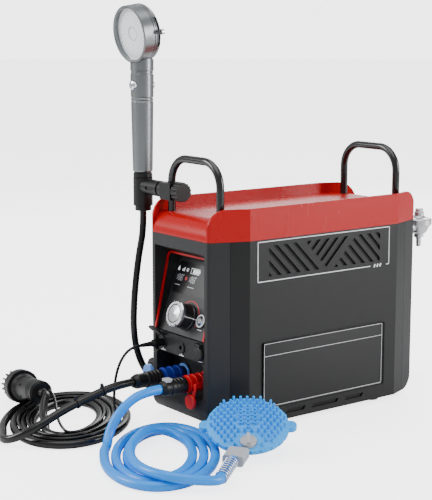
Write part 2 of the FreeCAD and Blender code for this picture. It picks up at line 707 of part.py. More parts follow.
def collar(x, end):
    """Sliding release collar with three flanges."""
    length = COLLAR_BACK - end
    inner, outer, flange = COLLAR_BORE, COLLAR_RADIUS, COLLAR_FLANGE
    profile = [(inner, 0), (outer, 0), (outer, 4)]
    for h in (4, length * 0.45, length - 8):
        profile += [(outer, h + 0.2), (flange - 0.5, h + 0.2), (flange, h + 0.8), (flange, h + 3.2),
                    (flange - 0.5, h + 3.8), (outer, h + 3.8)]
    profile += [(outer, length), (inner, length)]
    return turned(profile, Vector(x, COLLAR_BACK, PORT_Z), Y * -1)


def hose_connector(x, start, end):
    """Quick connector pushed into a port, with grip rings and a rear nut."""
    length = start - CLEAR - end
    profile = [(0, -26), (PORT_BORE - CLEAR, -26), (PORT_BORE - CLEAR, 0), (12.2, 0), (12.6, 1)]
    for h in (6, 12, 18):
        profile += [(12.6, h), (11.6, h + 0.8), (11.6, h + 2.4), (12.6, h + 3.2)]
    profile += [(12.6, 26), (10.8, 27.5), (10.8, 30), (11.4, 31), (11.4, length - 6), (9, length), (0, length)]
    return turned(profile, Vector(x, start - CLEAR, PORT_Z), Y * -1)


def outlet_connector():
    """The brush hose's connector, with a pocket for its thumb tab."""
    body = hose_connector(PORT_X, OUTLET_COLLAR_END, OUTLET_CONNECTOR_END)
    half = TAB_HALF + CLEAR
    return body.cut(box(PORT_X - half, PORT_X + half, TAB_Y - CLEAR, TAB_Y + 2 * TAB_HALF + CLEAR,
                        PORT_Z + TAB_FLOOR, PORT_Z + 20))


def dust_cap_outlet():
    """Hot port cover: a ring round the port, a strap and the hanging cap."""
    y = RECESS_BACK - 2 - CLEAR
    shape = ring(Vector(PORT_X, y - 2, PORT_Z), Y, 15, PORT_RADIUS + CLEAR, 2)
    shape = shape.fuse(box(PORT_X + 13, PORT_X + 19, y - 2, y, PORT_Z - 4, PORT_Z + 4))
    shape = shape.fuse(box(PORT_X + 17.4, PORT_X + 19, -217, y, PORT_Z - 4, PORT_Z + 4))
    strap = [Vector(a, -217, b) for a, b in ((46.4, 75), (52, 75), (52, 67), (45, 46), (38, 50), (46.4, 66))]
    shape = shape.fuse(prism(strap, 0, Vector(0, 1.8, 0)))
    cap = turned([(0, 0), (9, 0), (11, 1), (11.4, 2), (11.4, 5), (10.6, 6), (0, 6)], Vector(39, -214, 46), Y * -1)
    return shape.fuse(cap).removeSplitter()


def dust_cap_inlet():
    """Cold port cover, its strap led out to the side."""
    y = RECESS_BACK - 2 - CLEAR
    shape = ring(Vector(-PORT_X, y - 2, PORT_Z), Y, 15, PORT_RADIUS + CLEAR, 2)
    shape = shape.fuse(box(-PORT_X - 19, -PORT_X - 13, y - 2, y, PORT_Z - 4, PORT_Z + 4))
    shape = shape.fuse(box(-PORT_X - 19, -PORT_X - 17.4, -219, y, PORT_Z - 4, PORT_Z + 4))
    shape = shape.fuse(box(-58, -PORT_X - 17.4, -219, -217.4, PORT_Z - 4, PORT_Z + 4))
    cap = turned([(0, 0), (9, 0), (11, 1), (12, 2), (12, 7), (11, 8), (0, 8)], Vector(-66, -217, 71), Y * -1)
    return shape.fuse(cap).removeSplitter()


def drain_plug():
    profile = [(0, -9), (5, -9), (5, CLEAR), (8, CLEAR), (10, 1.5), (10, 12), (8.6, 14), (0, 14.6)]
    plug = turned(profile, DRAIN_SEAT, DRAIN_AXIS)
    notch = rod(DRAIN_SEAT + Vector(0, 0, 11) + DRAIN_AXIS * 2, DRAIN_AXIS, 2.4, 20)
    for cut in spun_copies(notch, DRAIN_SEAT, DRAIN_AXIS, 10):
        plug = plug.cut(cut)
    return plug


def dc_plug():
    """Round power plug with its tapered strain relief."""
    face = -HALF_LENGTH + STRIP_DEPTH - 2 - CLEAR
    profile = [(0, -9), (2.8, -9), (2.8, 0), (6, 0), (6.2, 1), (6.2, 16), (5.6, 18), (4.4, 19.5)]
    for h in (21, 25, 29, 33):
        profile += [(4.2 - (h - 21) * 0.08, h), (3.4, h + 0.6), (3.4, h + 1.8), (4.1 - (h - 21) * 0.08, h + 2.4)]
    profile += [(2.7, 39.7), (0, 39.7)]
    return turned(profile, Vector(-JACK_X, face, JACK_Z), Y * -1)


PLUG_END = Vector(-JACK_X, -HALF_LENGTH + STRIP_DEPTH - 2 - CLEAR - 39.7, JACK_Z)


def release_tab():
    """Square thumb tab on top of the outlet connector."""
    top = PORT_Z + TAB_FLOOR + 7.5
    tab = box(PORT_X - TAB_HALF, PORT_X + TAB_HALF, TAB_Y, TAB_Y + 2 * TAB_HALF, PORT_Z + TAB_FLOOR + TAB_TRAVEL, top)
    return tab.makeFillet(1.2, [e for e in tab.Edges if abs(e.CenterOfMass.z - top) < 0.1])


def gas_regulator():
    """Regulator body with its hose barb, and the adjusting bonnet above it."""
    at = Vector(GAS_X, GAS_Y, 0)
    profile = [(0, 238), (3.2, 238), (4.6, 242), (3.8, 242.4), (4.6, 247), (3.8, 247.4), (4.6, 252), (4.2, 253),
               (8, 254), (8, 259), (13, 263), (17, 272), (21, 276), (21, 281), (0, 281)]
    body = turned(profile, at, Z)
    body = body.fuse(rod(Vector(GAS_X, HALF_LENGTH - 10, GAS_Z), Y, 8, GAS_Y - HALF_LENGTH))
    body = body.fuse(rod(Vector(GAS_X, HALF_LENGTH + CLEAR, GAS_Z), Y, 10.5, 6))
    top = [(0, 281), (21, 281), (21, 284), (19.5, 285.5), (12, 287), (8, 290), (8, 296), (6.5, 297),
           (6.5, 301), (5.5, 302), (0, 302)]
    return [body, turned(top, at, Z)]


def holder_clamp():
    """Split clamp on the handle leg, with the pin that the cradle turns on."""
    y = FRONT_HANDLE_Y
    arm = rod(Vector(-86, y, ARM_Z), X, 12.5, 40)
    arm = arm.fuse(box(-77, -49, y - 13, y + 13, ARM_Z - 13, ARM_Z + 13))
    arm = arm.fuse(rod(Vector(-90, y, ARM_Z), X, 10.5, 5)).fuse(rod(Vector(-121, y, ARM_Z), X, AXLE_RADIUS, 32))
    arm = arm.cut(rod(Vector(-LEG_X, y, ARM_Z - 20), Z, TUBE_RADIUS + FIT, 40))
    arm = arm.cut(rod(Vector(-55.5, y, ARM_Z), X, AXLE_RADIUS + FIT, 20))
    return arm.removeSplitter()


def clamp_knob():
    y = FRONT_HANDLE_Y
    knob = rod(Vector(-45.6, y, ARM_Z), X, 15, 15).fuse(rod(Vector(-55, y, ARM_Z), X, AXLE_RADIUS, 10))
    lobe = rod(Vector(-47, y, ARM_Z + 16.6), X, 3.2, 20)
    for cut in spun_copies(lobe, Vector(0, y, ARM_Z), X, 16):
        knob = knob.cut(cut)
    return knob


def cradle():
    """Tilting holder: an arm on the pin and a split sleeve round the hose nut."""
    y = FRONT_HANDLE_Y
    arm = rod(Vector(-132, y, ARM_Z), X, 12.5, 132 - 90.3)
    sleeve = rod(Vector(CRADLE_X, y, 321), Z, SLEEVE_RADIUS, 44)
    shape = arm.fuse(sleeve)
    shape = shape.cut(rod(Vector(CRADLE_X, y, 320), Z, SLEEVE_BORE, 46))
    shape = shape.cut(rod(Vector(-121.5, y, ARM_Z), X, AXLE_RADIUS + FIT, 40))
    shape = shape.cut(box(CRADLE_X - 20, CRADLE_X, y - 6.5, y + 6.5, 320, 366))
    slot = [Vector(x, y - 14, z) for x, z in ((-118, ARM_Z - 3), (-98, ARM_Z - 3), (-98, ARM_Z + 3), (-118, ARM_Z + 3))]
    return shape.cut(prism(slot, 2.9, Vector(0, 3.2, 0)))


def hose_nut():
    """Swivel nut under the handset, its foot domed about the tilt pin."""
    rise = DOME_RADIUS - math.sqrt(DOME_RADIUS ** 2 - NUT_RADIUS ** 2)
    foot = ARM_Z - DOME_RADIUS
    half = NUT_RADIUS * 0.5
    mid_rise = DOME_RADIUS - math.sqrt(DOME_RADIUS ** 2 - half ** 2)
    edges = [
        Part.Arc(Vector(0, 0, foot), Vector(half, 0, foot + mid_rise), Vector(NUT_RADIUS, 0, foot + rise)).toShape(),
        Part.makePolygon([Vector(r, 0, h) for r, h in (
            (NUT_RADIUS, foot + rise), (NUT_RADIUS, 365), (NUT_RADIUS, 365.4), (14.6, 365.4), (15.2, 366.4),
            (15.2, 372), (14, 373), (14, HANDLE_START), (0, HANDLE_START), (0, foot))]),
    ]
    wire = Part.Wire([edges[0], *edges[1].Edges])
    nut = Part.Face(wire).revolve(Vector(0, 0, 0), Z, 360)
    nut.Placement = Placement(Vector(CRADLE_X, FRONT_HANDLE_Y, 0), Rotation())
    return nut


HEAD_AXIS = Vector(0, -math.cos(math.radians(HEAD_TILT)), -math.sin(math.radians(HEAD_TILT)))


def handset_handle():
    y = FRONT_HANDLE_Y
    profile = [(0, HANDLE_START), (15.2, HANDLE_START), (15.75, HANDLE_START + 2), (16.2, 400), (17.6, 484),
               (17, 485), (17, 486), (17.7, 487), (17.7, 489), (17, 490), (17, 491), (17.8, 492), (18.3, 527),
               (17.4, 528), (17.4, 532), (18.3, 533), (18.3, HANDSET_TOP), (0, HANDSET_TOP)]
    shape = turned(profile, Vector(CRADLE_X, y, 0), Z)
    shape = shape.cut(rod(HEAD_CENTRE + HEAD_AXIS * 20, HEAD_AXIS * -1, HEAD_RADIUS, 80))
    shape = shape.cut(rod(Vector(CRADLE_X, y - 40, BUTTON_Z), Y, BUTTON_ROD + 0.2, 80))
    return max(shape.Solids, key=lambda s: s.Volume)


def handset_head():
    """Round spray head: a drum with two seam grooves, a rim and a domed back."""
    depth, radius = HEAD_DEPTH, HEAD_RADIUS
    profile = [(0, PLATE_DEPTH + 2.5), (radius - 4, PLATE_DEPTH + 2.5), (radius - 4, 1), (radius - 3, 0),
               (radius - 1, 0), (radius, 1)]
    for h in (depth * 0.55, depth * 0.65):
        profile += [(radius, h - 0.6), (radius - 1, h - 0.3), (radius - 1, h + 0.3), (radius, h + 0.6)]
    profile += [(radius, depth - 9), (radius - 1.5, depth - 5), (radius - 6, depth - 1.6), (radius - 12, depth),
                (0, depth)]
    drum = turned(profile, HEAD_CENTRE, HEAD_AXIS * -1)
    slot = ring(HEAD_CENTRE - HEAD_AXIS * 24.5, HEAD_AXIS * -1, radius + 2, radius - 6, 5.6)
    sector = [Vector(0, 0, 0), Vector(80, -48, 0), Vector(80, 48, 0)]
    wedge = prism(sector, 0, Vector(0, 0, 8))
    wedge.Placement = Placement(HEAD_CENTRE - HEAD_AXIS * 24, Rotation(Z, HEAD_AXIS * -1))
    return drum.cut(slot.common(wedge))


def spray_plate():
    radius = HEAD_RADIUS - 4 - FIT
    profile = [(0, PLATE_DEPTH + 2.5), (radius, PLATE_DEPTH + 2.5), (radius, PLATE_DEPTH), (30, PLATE_DEPTH - 0.8),
               (12, PLATE_DEPTH - 1), (11, PLATE_DEPTH), (0, PLATE_DEPTH)]
    return turned(profile, HEAD_CENTRE, HEAD_AXIS * -1)


def mode_lever():
    lever = box(HEAD_RADIUS - 5.7, HEAD_RADIUS + 8, -4, 4, 0.3, 5.3)
    lever = lever.fuse(rod(Vector(HEAD_RADIUS + 8, 0, 0.3), Z, 4, 5))
    lever.Placement = Placement(HEAD_CENTRE - HEAD_AXIS * 24.5, Rotation(Z, HEAD_AXIS * -1))
    return lever.removeSplitter()


def pause_button():
    rod_length = 43.0
    profile = [(0, 0), (4, 0.4), (7, 2), (BUTTON_ROD, 4.5), (BUTTON_ROD, rod_length - 4.5), (7, rod_length - 2),
               (4, rod_length - 0.4), (0, rod_length)]
    return turned(profile, Vector(CRADLE_X, FRONT_HANDLE_Y - rod_length / 2, BUTTON_Z), Y)


# The loose accessories on the ground
HANK_CENTRE = Vector(-108, -342, 0)
HANK_A = 138.0
HANK_B = 96.0
HANK_PITCH = 13.9
HANK_START = -80.0
HANK_TURNS = 3.88
CABLE_FIRST = 0.625
CABLE_LAST = 2.75
RING_CENTRE = Vector(118, -322, 0)
RING_A = 138.0
RING_B = 82.0
RING_PITCH = 16.0
RING_START = -95.0
RING_TURNS = 2.63
PARKED_CENTRE = Vector(-176, 20, 0)
PARKED_RADIUS = 66.0
PARKED_PITCH = 11.9
PARKED_TURNS = 2.0
PARKED_TOP_TURNS = 0.85
STEPS = 8
PUMP_AXIS = Vector(0.985, -0.14, 0.125).normalize()
PUMP_REAR = Vector(-158, -361, 39.8)
PUMP_NOZZLE_LENGTH = 14.0
GUARD_LENGTH = 62.0
BRUSH_TILT = 22.0
BRUSH_CENTRE = Vector(166, -208, 38)
BRUSH_RADIUS = 60.0
VALVE_OUT = 43.0
BRACKET_LENGTH = 32.0


def lane(centre, a, b, turned_by, drawn, z):
    """A point of an oval spiral: its angle in degrees and how far it is drawn in there."""
    angle = math.radians(turned_by)
    flat = centre + TOWARD * ((a - drawn) * math.cos(angle)) + ACROSS * ((b - drawn) * math.sin(angle))
    return Vector(flat.x, flat.y, z)


def ease(value):
    value = min(max(value, 0.0), 1.0)
    return value * value * (3 - 2 * value)


def hank_points(half_lane, first, last, z):
    """The hank of pump hose, or of the cable that lies in the grooves between its turns."""
    count = int(round((last - first) * STEPS))
    points = []
    for i in range(count + 1):
        turn = first + (last - first) * i / count
        drawn = HANK_PITCH * (turn + half_lane)
        points.append(lane(HANK_CENTRE, HANK_A, HANK_B, HANK_START - 360 * turn, drawn, z))
    return points


def ring_points():
    """The brush hose wound inwards on the ground."""
    count = int(round(RING_TURNS * STEPS))
    points = []
    for i in range(count + 1):
        turn = RING_TURNS * i / count
        points.append(lane(RING_CENTRE, RING_A, RING_B, RING_START + 360 * turn, RING_PITCH * turn, GROUND_BLUE))
    return points


def parked_points():
    """The shower hose wound in on the ground, then out again on top of its own turns."""
    count = int(round((PARKED_TURNS + PARKED_TOP_TURNS) * STEPS))
    low = SHOWER_HOSE / 2 + 0.1
    start = math.degrees(math.atan2(-TOWARD.y, TOWARD.x))
    points = []
    for i in range(count + 1):
        turn = (PARKED_TURNS + PARKED_TOP_TURNS) * i / count
        climb = ease((turn - PARKED_TURNS) / 0.25)
        out = max(turn - PARKED_TURNS - 0.25, 0.0)
        drawn = PARKED_PITCH * (min(turn, PARKED_TURNS + 0.25) - 2.6 * out)
        z = low + climb * (SHOWER_HOSE + 0.7) + 3.0 * ease((turn - PARKED_TURNS - 0.4) / 0.4)
        points.append(lane(PARKED_CENTRE, PARKED_RADIUS, PARKED_RADIUS, start + 360 * turn, drawn, z))
    return points


GROUND_BLUE = BRUSH_HOSE / 2 + 0.05
GROUND_BLACK = PUMP_HOSE / 2 + 0.05
CABLE_Z = PUMP_HOSE + 0.8

PUMP_HOSE_ROUTE = [Vector(-29, -275, 71), Vector(-29, -306, 71), Vector(-29, -350, 61), Vector(-29, -396, 49),
                   Vector(-29.5, -440, 31), Vector(-46, -467, 15), Vector(-73, -474, 7.5), Vector(-105, -456, 6.3)]
PUMP_HOSE_TAIL = [Vector(-84.5, -395.5, 12), Vector(-107, -387, 22), Vector(-125, -375.5, 32.5)]
CABLE_ROUTE = [Vector(-48, -264, 120), Vector(-50, -280, 107), Vector(-52, -290, 84), Vector(-51, -295, 58),
               Vector(-45, -299, 37), Vector(-34, -304, 21), Vector(-21.3, -313.4, 14.6)]
CABLE_TAIL = [Vector(-46, -391, 19), Vector(-76, -380, 23), Vector(-108, -363, 28)]
BRUSH_HOSE_ROUTE = [Vector(29, -265, 71), Vector(29, -294, 71), Vector(29, -320, 62), Vector(28, -342, 42),
                    Vector(32, -358, 20), Vector(44, -368, 7.05)]
BRUSH_HOSE_TAIL = [Vector(47.5, -266, 13), Vector(47, -298.5, 22), Vector(85, -352, 22), Vector(138, -392, 22),
                   Vector(195, -407, 22), Vector(240, -391, 21.5), Vector(257, -358, 15)]
GUARD_START = Vector(258, -326, 11)
GUARD_AXIS = Vector(-0.60, 0.79, 0.09).normalize()
SHOWER_HOSE_ROUTE = [Vector(-142, -179, 310.7), Vector(-142, -179, 280), Vector(-141, -188, 246),
                     Vector(-140, -196, 200), Vector(-139, -201, 156), Vector(-138, -202, 117),
                     Vector(-137, -196, 82), Vector(-136, -182, 52), Vector(-134, -160, 27),
                     Vector(-131, -130, 10), Vector(-124, -96, 5.8), Vector(-114, -58, 5.6),
                     Vector(-110, -18, 5.6)]
PUMP_MOUTH = PUMP_REAR + PUMP_AXIS * (PUMP_NOZZLE_LENGTH + CLEAR)
PUMP_SIDE = Vector(PUMP_AXIS.y, -PUMP_AXIS.x, 0).normalize() * -1
GLAND_FOOT = PUMP_REAR + PUMP_SIDE * 11.5
GLAND_MOUTH = GLAND_FOOT + PUMP_AXIS * 10.3


def pump_housing():
    """Submersible pump: ribbed motor body, hose nozzle, cable gland and the threaded neck."""
    profile = [(0, 0), (15, 0), (18.5, 2)]
    for h in (8, 14, 20):
        profile += [(18.5, h), (17.6, h + 0.8), (17.6, h + 2.2), (18.5, h + 3)]
    profile += [(18.5, 74), (21.6, 78), (21.6, 98), (0, 98)]
    body = turned(profile, PUMP_REAR, PUMP_AXIS * -1)
    nozzle = [(0, -PUMP_NOZZLE_LENGTH), (6.2, -PUMP_NOZZLE_LENGTH), (7.6, -8), (7.6, 1), (0, 1)]
    gland = [(0, -10), (3, -10), (4.6, -3), (4.6, 1), (0, 1)]
    body = body.fuse(turned(nozzle, PUMP_REAR, PUMP_AXIS * -1))
    body = body.fuse(turned(gland, GLAND_FOOT, PUMP_AXIS * -1))
    hole = rod(PUMP_REAR - PUMP_AXIS * 52 + Z * 15, Z, 2.6, 6)
    for cut in spun_copies(hole, PUMP_REAR, PUMP_AXIS, 6):
        body = body.cut(cut)
    return body


def pump_strainer():
    """Twist-on strainer: a knurled collar with a comb of fins on its face."""
    start = PUMP_REAR - PUMP_AXIS * 81
    profile = [(21.6 + CLEAR, 0), (26, 0), (27, 1.5), (27, 17), (25.5, 19), (23, 20), (0, 20), (0, 17.3),
               (21.6 + CLEAR, 17.3)]
    cap = turned(profile, start, PUMP_AXIS * -1)
    fin = Part.makeBox(2.6, 7.0, 25, Vector(-1.3, 15.2, 18))
    fin.Placement = Placement(start, Rotation(Z, PUMP_AXIS * -1))
    cap = cap.fuse(spun_copies(fin, start, PUMP_AXIS, 16))
    hub = turned([(0, 18), (12, 18), (10, 36), (0, 38)], start, PUMP_AXIS * -1)
    return cap.fuse(hub).removeSplitter()


def spring_guard():
    """Spring round the hose end, one wire in open turns."""
    radius, wire, pitch, halves = 8.4, 1.9, 6.4, 17
    spin = Rotation(Z, GUARD_AXIS)
    start = GUARD_START + GUARD_AXIS * 2
    points, tangents = [], []
    for i in range(halves + 1):
        angle = i * math.pi
        place = Vector(radius * math.cos(angle), radius * math.sin(angle), pitch * i / 2)
        along = Vector(-radius * math.sin(angle), radius * math.cos(angle), pitch / (2 * math.pi)).normalize()
        points.append(start + spin.multVec(place))
        tangents.append(spin.multVec(along))
    return swept(biarc_wire(points, tangents), points[0], tangents[0], wire / 2)


BRUSH_UP = Vector(
    TOWARD.x * math.sin(math.radians(BRUSH_TILT)), TOWARD.y * math.sin(math.radians(BRUSH_TILT)),
    math.cos(math.radians(BRUSH_TILT)))
GUARD_END = GUARD_START + GUARD_AXIS * GUARD_LENGTH
VALVE_SIDE = (TOWARD - BRUSH_UP * TOWARD.dot(BRUSH_UP)).normalize()


def brush_body():
    """Soft brush head: a domed disc with a scalloped rim, two side lugs and the palm strap below."""
    radius = BRUSH_RADIUS
    profile = [(0, -11), (34, -10), (52, -7), (radius - 1, -3), (radius, 0), (radius - 1, 3.5), (52, 7), (36, 10),
               (18, 11.5), (0, 12)]
    body = turned(profile, Vector(0, 0, 0), Z)
    notch = rod(Vector(radius + 3.2, 0, -12), Z, 5, 24)
    for cut in spun_copies(notch, Vector(0, 0, 0), Z, 24):
        body = body.cut(cut)
    strap = ring(Vector(-15, 0, -4), X, 30.5, 27.2, 30).common(box(-20, 20, -40, 40, -50, -8))
    body = body.fuse(strap)
    for side in (-1, 1):
        body = body.fuse(rod(Vector(0, side * (radius + 1), -4), Z, 9, 7))
    body.Placement = Placement(BRUSH_CENTRE, BRUSH_TURN)
    seat = BRUSH_CENTRE + VALVE_SIDE * VALVE_OUT
    return body.cut(rod(seat + BRUSH_UP * 2, BRUSH_UP, 12.4, 20)).removeSplitter()


BRUSH_TURN = Rotation(VALVE_SIDE, BRUSH_UP.cross(VALVE_SIDE), BRUSH_UP, "ZXY")


def brush_valve_knob():
    seat = BRUSH_CENTRE + VALVE_SIDE * VALVE_OUT + BRUSH_UP * 2
    knob = turned([(0, CLEAR), (11.4, CLEAR), (12, 1.5), (12, 8), (11, 9.5), (0, 10)], seat, BRUSH_UP)
    ridge = box(-10.5, 10.5, -2.2, 2.2, 8, 13.5)
    ridge.Placement = Placement(seat, Rotation(VALVE_SIDE, BRUSH_UP.cross(VALVE_SIDE), BRUSH_UP, "ZXY"))
    return knob.fuse(ridge).removeSplitter()


def brush_bracket():
    """Clip that holds the hose end to the brush."""
    shape = box(-15, 15, -9.5, 6, 0, BRACKET_LENGTH)
    edges = [e for e in shape.Edges if abs(e.Vertexes[0].Z - e.Vertexes[1].Z) > BRACKET_LENGTH / 2]
    shape = shape.makeFillet(4, edges)
    shape.Placement = Placement(GUARD_END + GUARD_AXIS * CLEAR, Rotation(ACROSS * -1, Z, GUARD_AXIS, "ZXY"))
    return max(shape.cut(brush_body()).Solids, key=lambda s: s.Volume)


def cable_ties():
    ties = []
    for i in (1, 2):
        a, b = PUMP_HOSE_ROUTE[i], PUMP_HOSE_ROUTE[i + 1]
        along = (b - a).normalize()
        middle = (a + b) * 0.5 - along * 1.6
        tie = ring(middle, along, PUMP_HOSE / 2 + 1.6, PUMP_HOSE / 2 + 0.2, 3.2)
        head = Part.makeBox(5, 4.5, 3.6, Vector(-2.5, PUMP_HOSE / 2 + 1, -0.2))
        head.Placement = Placement(middle, Rotation(X, along.cross(X), along, "ZXY"))
        ties.append(tie.fuse(head).removeSplitter())
    return ties


def hose_end(place, along):
    """Threaded connector on the far end of the shower hose."""
    profile = [(0, CLEAR), (6, CLEAR), (6.6, 2), (6.6, 10), (8.2, 11), (8.2, 24), (7.4, 25), (5, 25), (5, 16), (0, 16)]
    return turned(profile, place, along)


def save_cords():
    """Every hose and cable: its free stretch, and the turns that are put away on the ground."""
    coil = hank_points(0, 0, HANK_TURNS, GROUND_BLACK)
    save("pump_hose", cord_tube("pump hose", PUMP_HOSE_ROUTE + [coil[0]], PUMP_HOSE))
    inlet = coil + PUMP_HOSE_TAIL + [PUMP_MOUTH]
    save("pump_hose_coil", coil_tube(
        "pump hose coil", inlet, PUMP_HOSE, coil[0] - PUMP_HOSE_ROUTE[-1], PUMP_AXIS * -1))
    grooves = hank_points(0.5, CABLE_FIRST, CABLE_LAST, CABLE_Z)
    save("pump_cable", cord_tube("pump cable", [PLUG_END] + CABLE_ROUTE + [grooves[0]], CABLE))
    save("pump_cable_coil", coil_tube(
        "pump cable coil", grooves + CABLE_TAIL + [GLAND_MOUTH], CABLE, grooves[0] - CABLE_ROUTE[-1], PUMP_AXIS * -1))
    turns = ring_points()
    save("brush_hose", cord_tube("brush hose", BRUSH_HOSE_ROUTE + [turns[0]], BRUSH_HOSE))
    blue = turns + BRUSH_HOSE_TAIL + [GUARD_START, GUARD_END]
    save("brush_hose_coil", coil_tube(
        "brush hose coil", blue, BRUSH_HOSE, turns[0] - BRUSH_HOSE_ROUTE[-1], GUARD_AXIS, True))
    parked = parked_points()
    save("shower_hose", cord_tube("shower hose", SHOWER_HOSE_ROUTE + [parked[0]], SHOWER_HOSE))
    leave = (parked[-1] - parked[-2]).normalize()
    save("shower_hose_coil", coil_tube(
        "shower hose coil", parked, SHOWER_HOSE, parked[0] - SHOWER_HOSE_ROUTE[-1], leave))
    save("shower_hose_connector", hose_end(parked[-1], leave))


def main():
    save("base_pan", base_pan())
    right = side_panel()
    save("side_panel_right", right)
    save("side_panel_left", right.mirror(Vector(0, 0, 0), X))
    save("front_frame", front_frame())
    save("control_fascia", control_fascia())
    save("display_window", display_window())
    save("accent_trim", accent_trim())
    save("rear_panel", rear_panel())
    save("top_cover", top_cover())
    save("carry_handles", handle(FRONT_HANDLE_Y, HANDLE_TOP), handle(REAR_HANDLE_Y, HANDLE_TOP + 4))
    save("feet", *feet())
    save("case_screws", *screws())
    save("heat_exchanger", heat_exchanger())
    save("burner", burner())
    save("gas_valve", gas_valve())
    save("water_valve", water_valve())
    save("pipework", *pipework())
    save("battery_pack", *battery_pack())
    save("control_board", control_board())
    save("water_ports", *water_ports())
    save("inlet_collar", collar(-PORT_X, INLET_COLLAR_END))
    save("outlet_collar", collar(PORT_X, OUTLET_COLLAR_END))
    save("inlet_dust_cap", dust_cap_inlet())
    save("outlet_dust_cap", dust_cap_outlet())
    save("port_jacks", *port_jacks())
    save("closed_jack_cap", jack_cap(JACK_X))
    save("open_jack_cap", open_jack_cap())
    save("control_knob", control_knob())
    save("power_button", power_button())
    save("drain_plug", drain_plug())
    save("dc_plug", dc_plug())
    save("pump_hose_connector", hose_connector(-PORT_X, INLET_COLLAR_END, CONNECTOR_END))
    save("brush_hose_connector", outlet_connector())
    save("release_tab", release_tab())
    save("gas_regulator", *gas_regulator())
    save("holder_clamp", holder_clamp())
    save("clamp_knob", clamp_knob())
    save("cradle", cradle())
    save("hose_nut", hose_nut())
    save("handset_handle", handset_handle())
    save("handset_head", handset_head())
    save("spray_plate", spray_plate())
    save("mode_lever", mode_lever())
    save("pause_button", pause_button())
    save("pump_housing", pump_housing())
    save("pump_strainer", pump_strainer())
    save("spring_guard", spring_guard())
    save("brush_body", brush_body())
    save("brush_bracket", brush_bracket())
    save("brush_valve_knob", brush_valve_knob())
    save("cable_ties", *cable_ties())
    save_cords()


main()
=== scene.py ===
"""The portable propane water heater with its shower handset, pump and brush, in a plain studio.

Metres, +Z up. The control panel faces -Y, and the long side that the camera sees faces +X.
"""
import json
import math
import bpy
from mathutils import Matrix, Vector


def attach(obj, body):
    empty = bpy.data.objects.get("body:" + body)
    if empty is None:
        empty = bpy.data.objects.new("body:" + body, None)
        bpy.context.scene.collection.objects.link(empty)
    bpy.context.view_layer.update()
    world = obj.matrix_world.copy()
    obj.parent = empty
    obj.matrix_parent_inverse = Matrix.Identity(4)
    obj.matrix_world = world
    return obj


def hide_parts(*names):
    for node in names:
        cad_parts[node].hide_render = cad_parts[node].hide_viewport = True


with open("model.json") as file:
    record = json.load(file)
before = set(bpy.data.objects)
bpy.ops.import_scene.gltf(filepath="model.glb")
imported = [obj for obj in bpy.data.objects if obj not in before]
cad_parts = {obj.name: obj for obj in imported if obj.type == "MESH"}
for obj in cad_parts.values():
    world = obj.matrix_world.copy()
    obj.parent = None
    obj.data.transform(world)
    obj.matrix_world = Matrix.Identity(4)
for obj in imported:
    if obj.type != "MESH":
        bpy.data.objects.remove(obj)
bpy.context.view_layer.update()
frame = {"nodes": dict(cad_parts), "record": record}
nodes = frame["nodes"]

TOWARD = Vector((0.801, -0.598, 0))
ACROSS = Vector((0.598, 0.801, 0))


def placed(origin, x_axis, y_axis, z_axis):
    """The matrix that lays a piece drawn flat at the origin on one of the object's faces."""
    turn = Matrix((x_axis, y_axis, z_axis)).transposed()
    return Matrix.Translation(origin) @ turn.to_4x4()


PANEL_LEAN = math.atan2(0.115, 0.044)
PANEL_UP = Vector((0, math.cos(PANEL_LEAN), math.sin(PANEL_LEAN)))
PANEL_OUT = Vector((0, -math.sin(PANEL_LEAN), math.cos(PANEL_LEAN)))
PANEL = placed(Vector((0, -0.204, 0.137)), Vector((1, 0, 0)), PANEL_UP, PANEL_OUT)
CONTROLS_UP = 0.030
BUTTON_ACROSS = 0.035
STRIP = placed(Vector((0, -0.206, 0)), Vector((1, 0, 0)), Vector((0, 0, 1)), Vector((0, -1, 0)))
RIGHT_SIDE = placed(Vector((0.096, 0, 0)), Vector((0, 1, 0)), Vector((0, 0, 1)), Vector((1, 0, 0)))
LEFT_SIDE = placed(Vector((-0.096, 0, 0)), Vector((0, -1, 0)), Vector((0, 0, 1)), Vector((-1, 0, 0)))
HEAD_TILT = math.radians(9)
SPRAY = placed(Vector((-0.142, -0.203, 0.588)), Vector((1, 0, 0)),
               Vector((0, -math.sin(HEAD_TILT), math.cos(HEAD_TILT))),
               Vector((0, -math.cos(HEAD_TILT), -math.sin(HEAD_TILT))))
BRUSH_LEAN = math.radians(22)
BRUSH_UP = Vector((TOWARD.x * math.sin(BRUSH_LEAN), TOWARD.y * math.sin(BRUSH_LEAN), math.cos(BRUSH_LEAN)))
BRUSH_OUT = (TOWARD - BRUSH_UP * TOWARD.dot(BRUSH_UP)).normalized()
BRUSH = placed(Vector((0.166, -0.208, 0.038)), BRUSH_OUT, BRUSH_UP.cross(BRUSH_OUT), BRUSH_UP)


# Camera and light

AZIMUTH = math.radians(53.26)
ELEVATION = math.radians(9.57)
DISTANCE = 2.1128
SHIFT_RIGHT = -0.11266
SHIFT_UP = 0.24587
LENS = 93.6


def aim_camera():
    back = Vector((math.sin(AZIMUTH) * math.cos(ELEVATION), -math.cos(AZIMUTH) * math.cos(ELEVATION),
                   math.sin(ELEVATION)))
    right = Vector((math.cos(AZIMUTH), math.sin(AZIMUTH), 0))
    up = back.cross(right)
    camera = bpy.data.objects.new("studio_camera", bpy.data.cameras.new("studio_camera"))
    bpy.context.scene.collection.objects.link(camera)
    camera.data.lens = LENS
    camera.data.sensor_width = 36.0
    camera.data.clip_end = 60.0
    camera.matrix_world = placed(back * DISTANCE + right * SHIFT_RIGHT + up * SHIFT_UP, right, up, back)
    bpy.context.scene.camera = camera


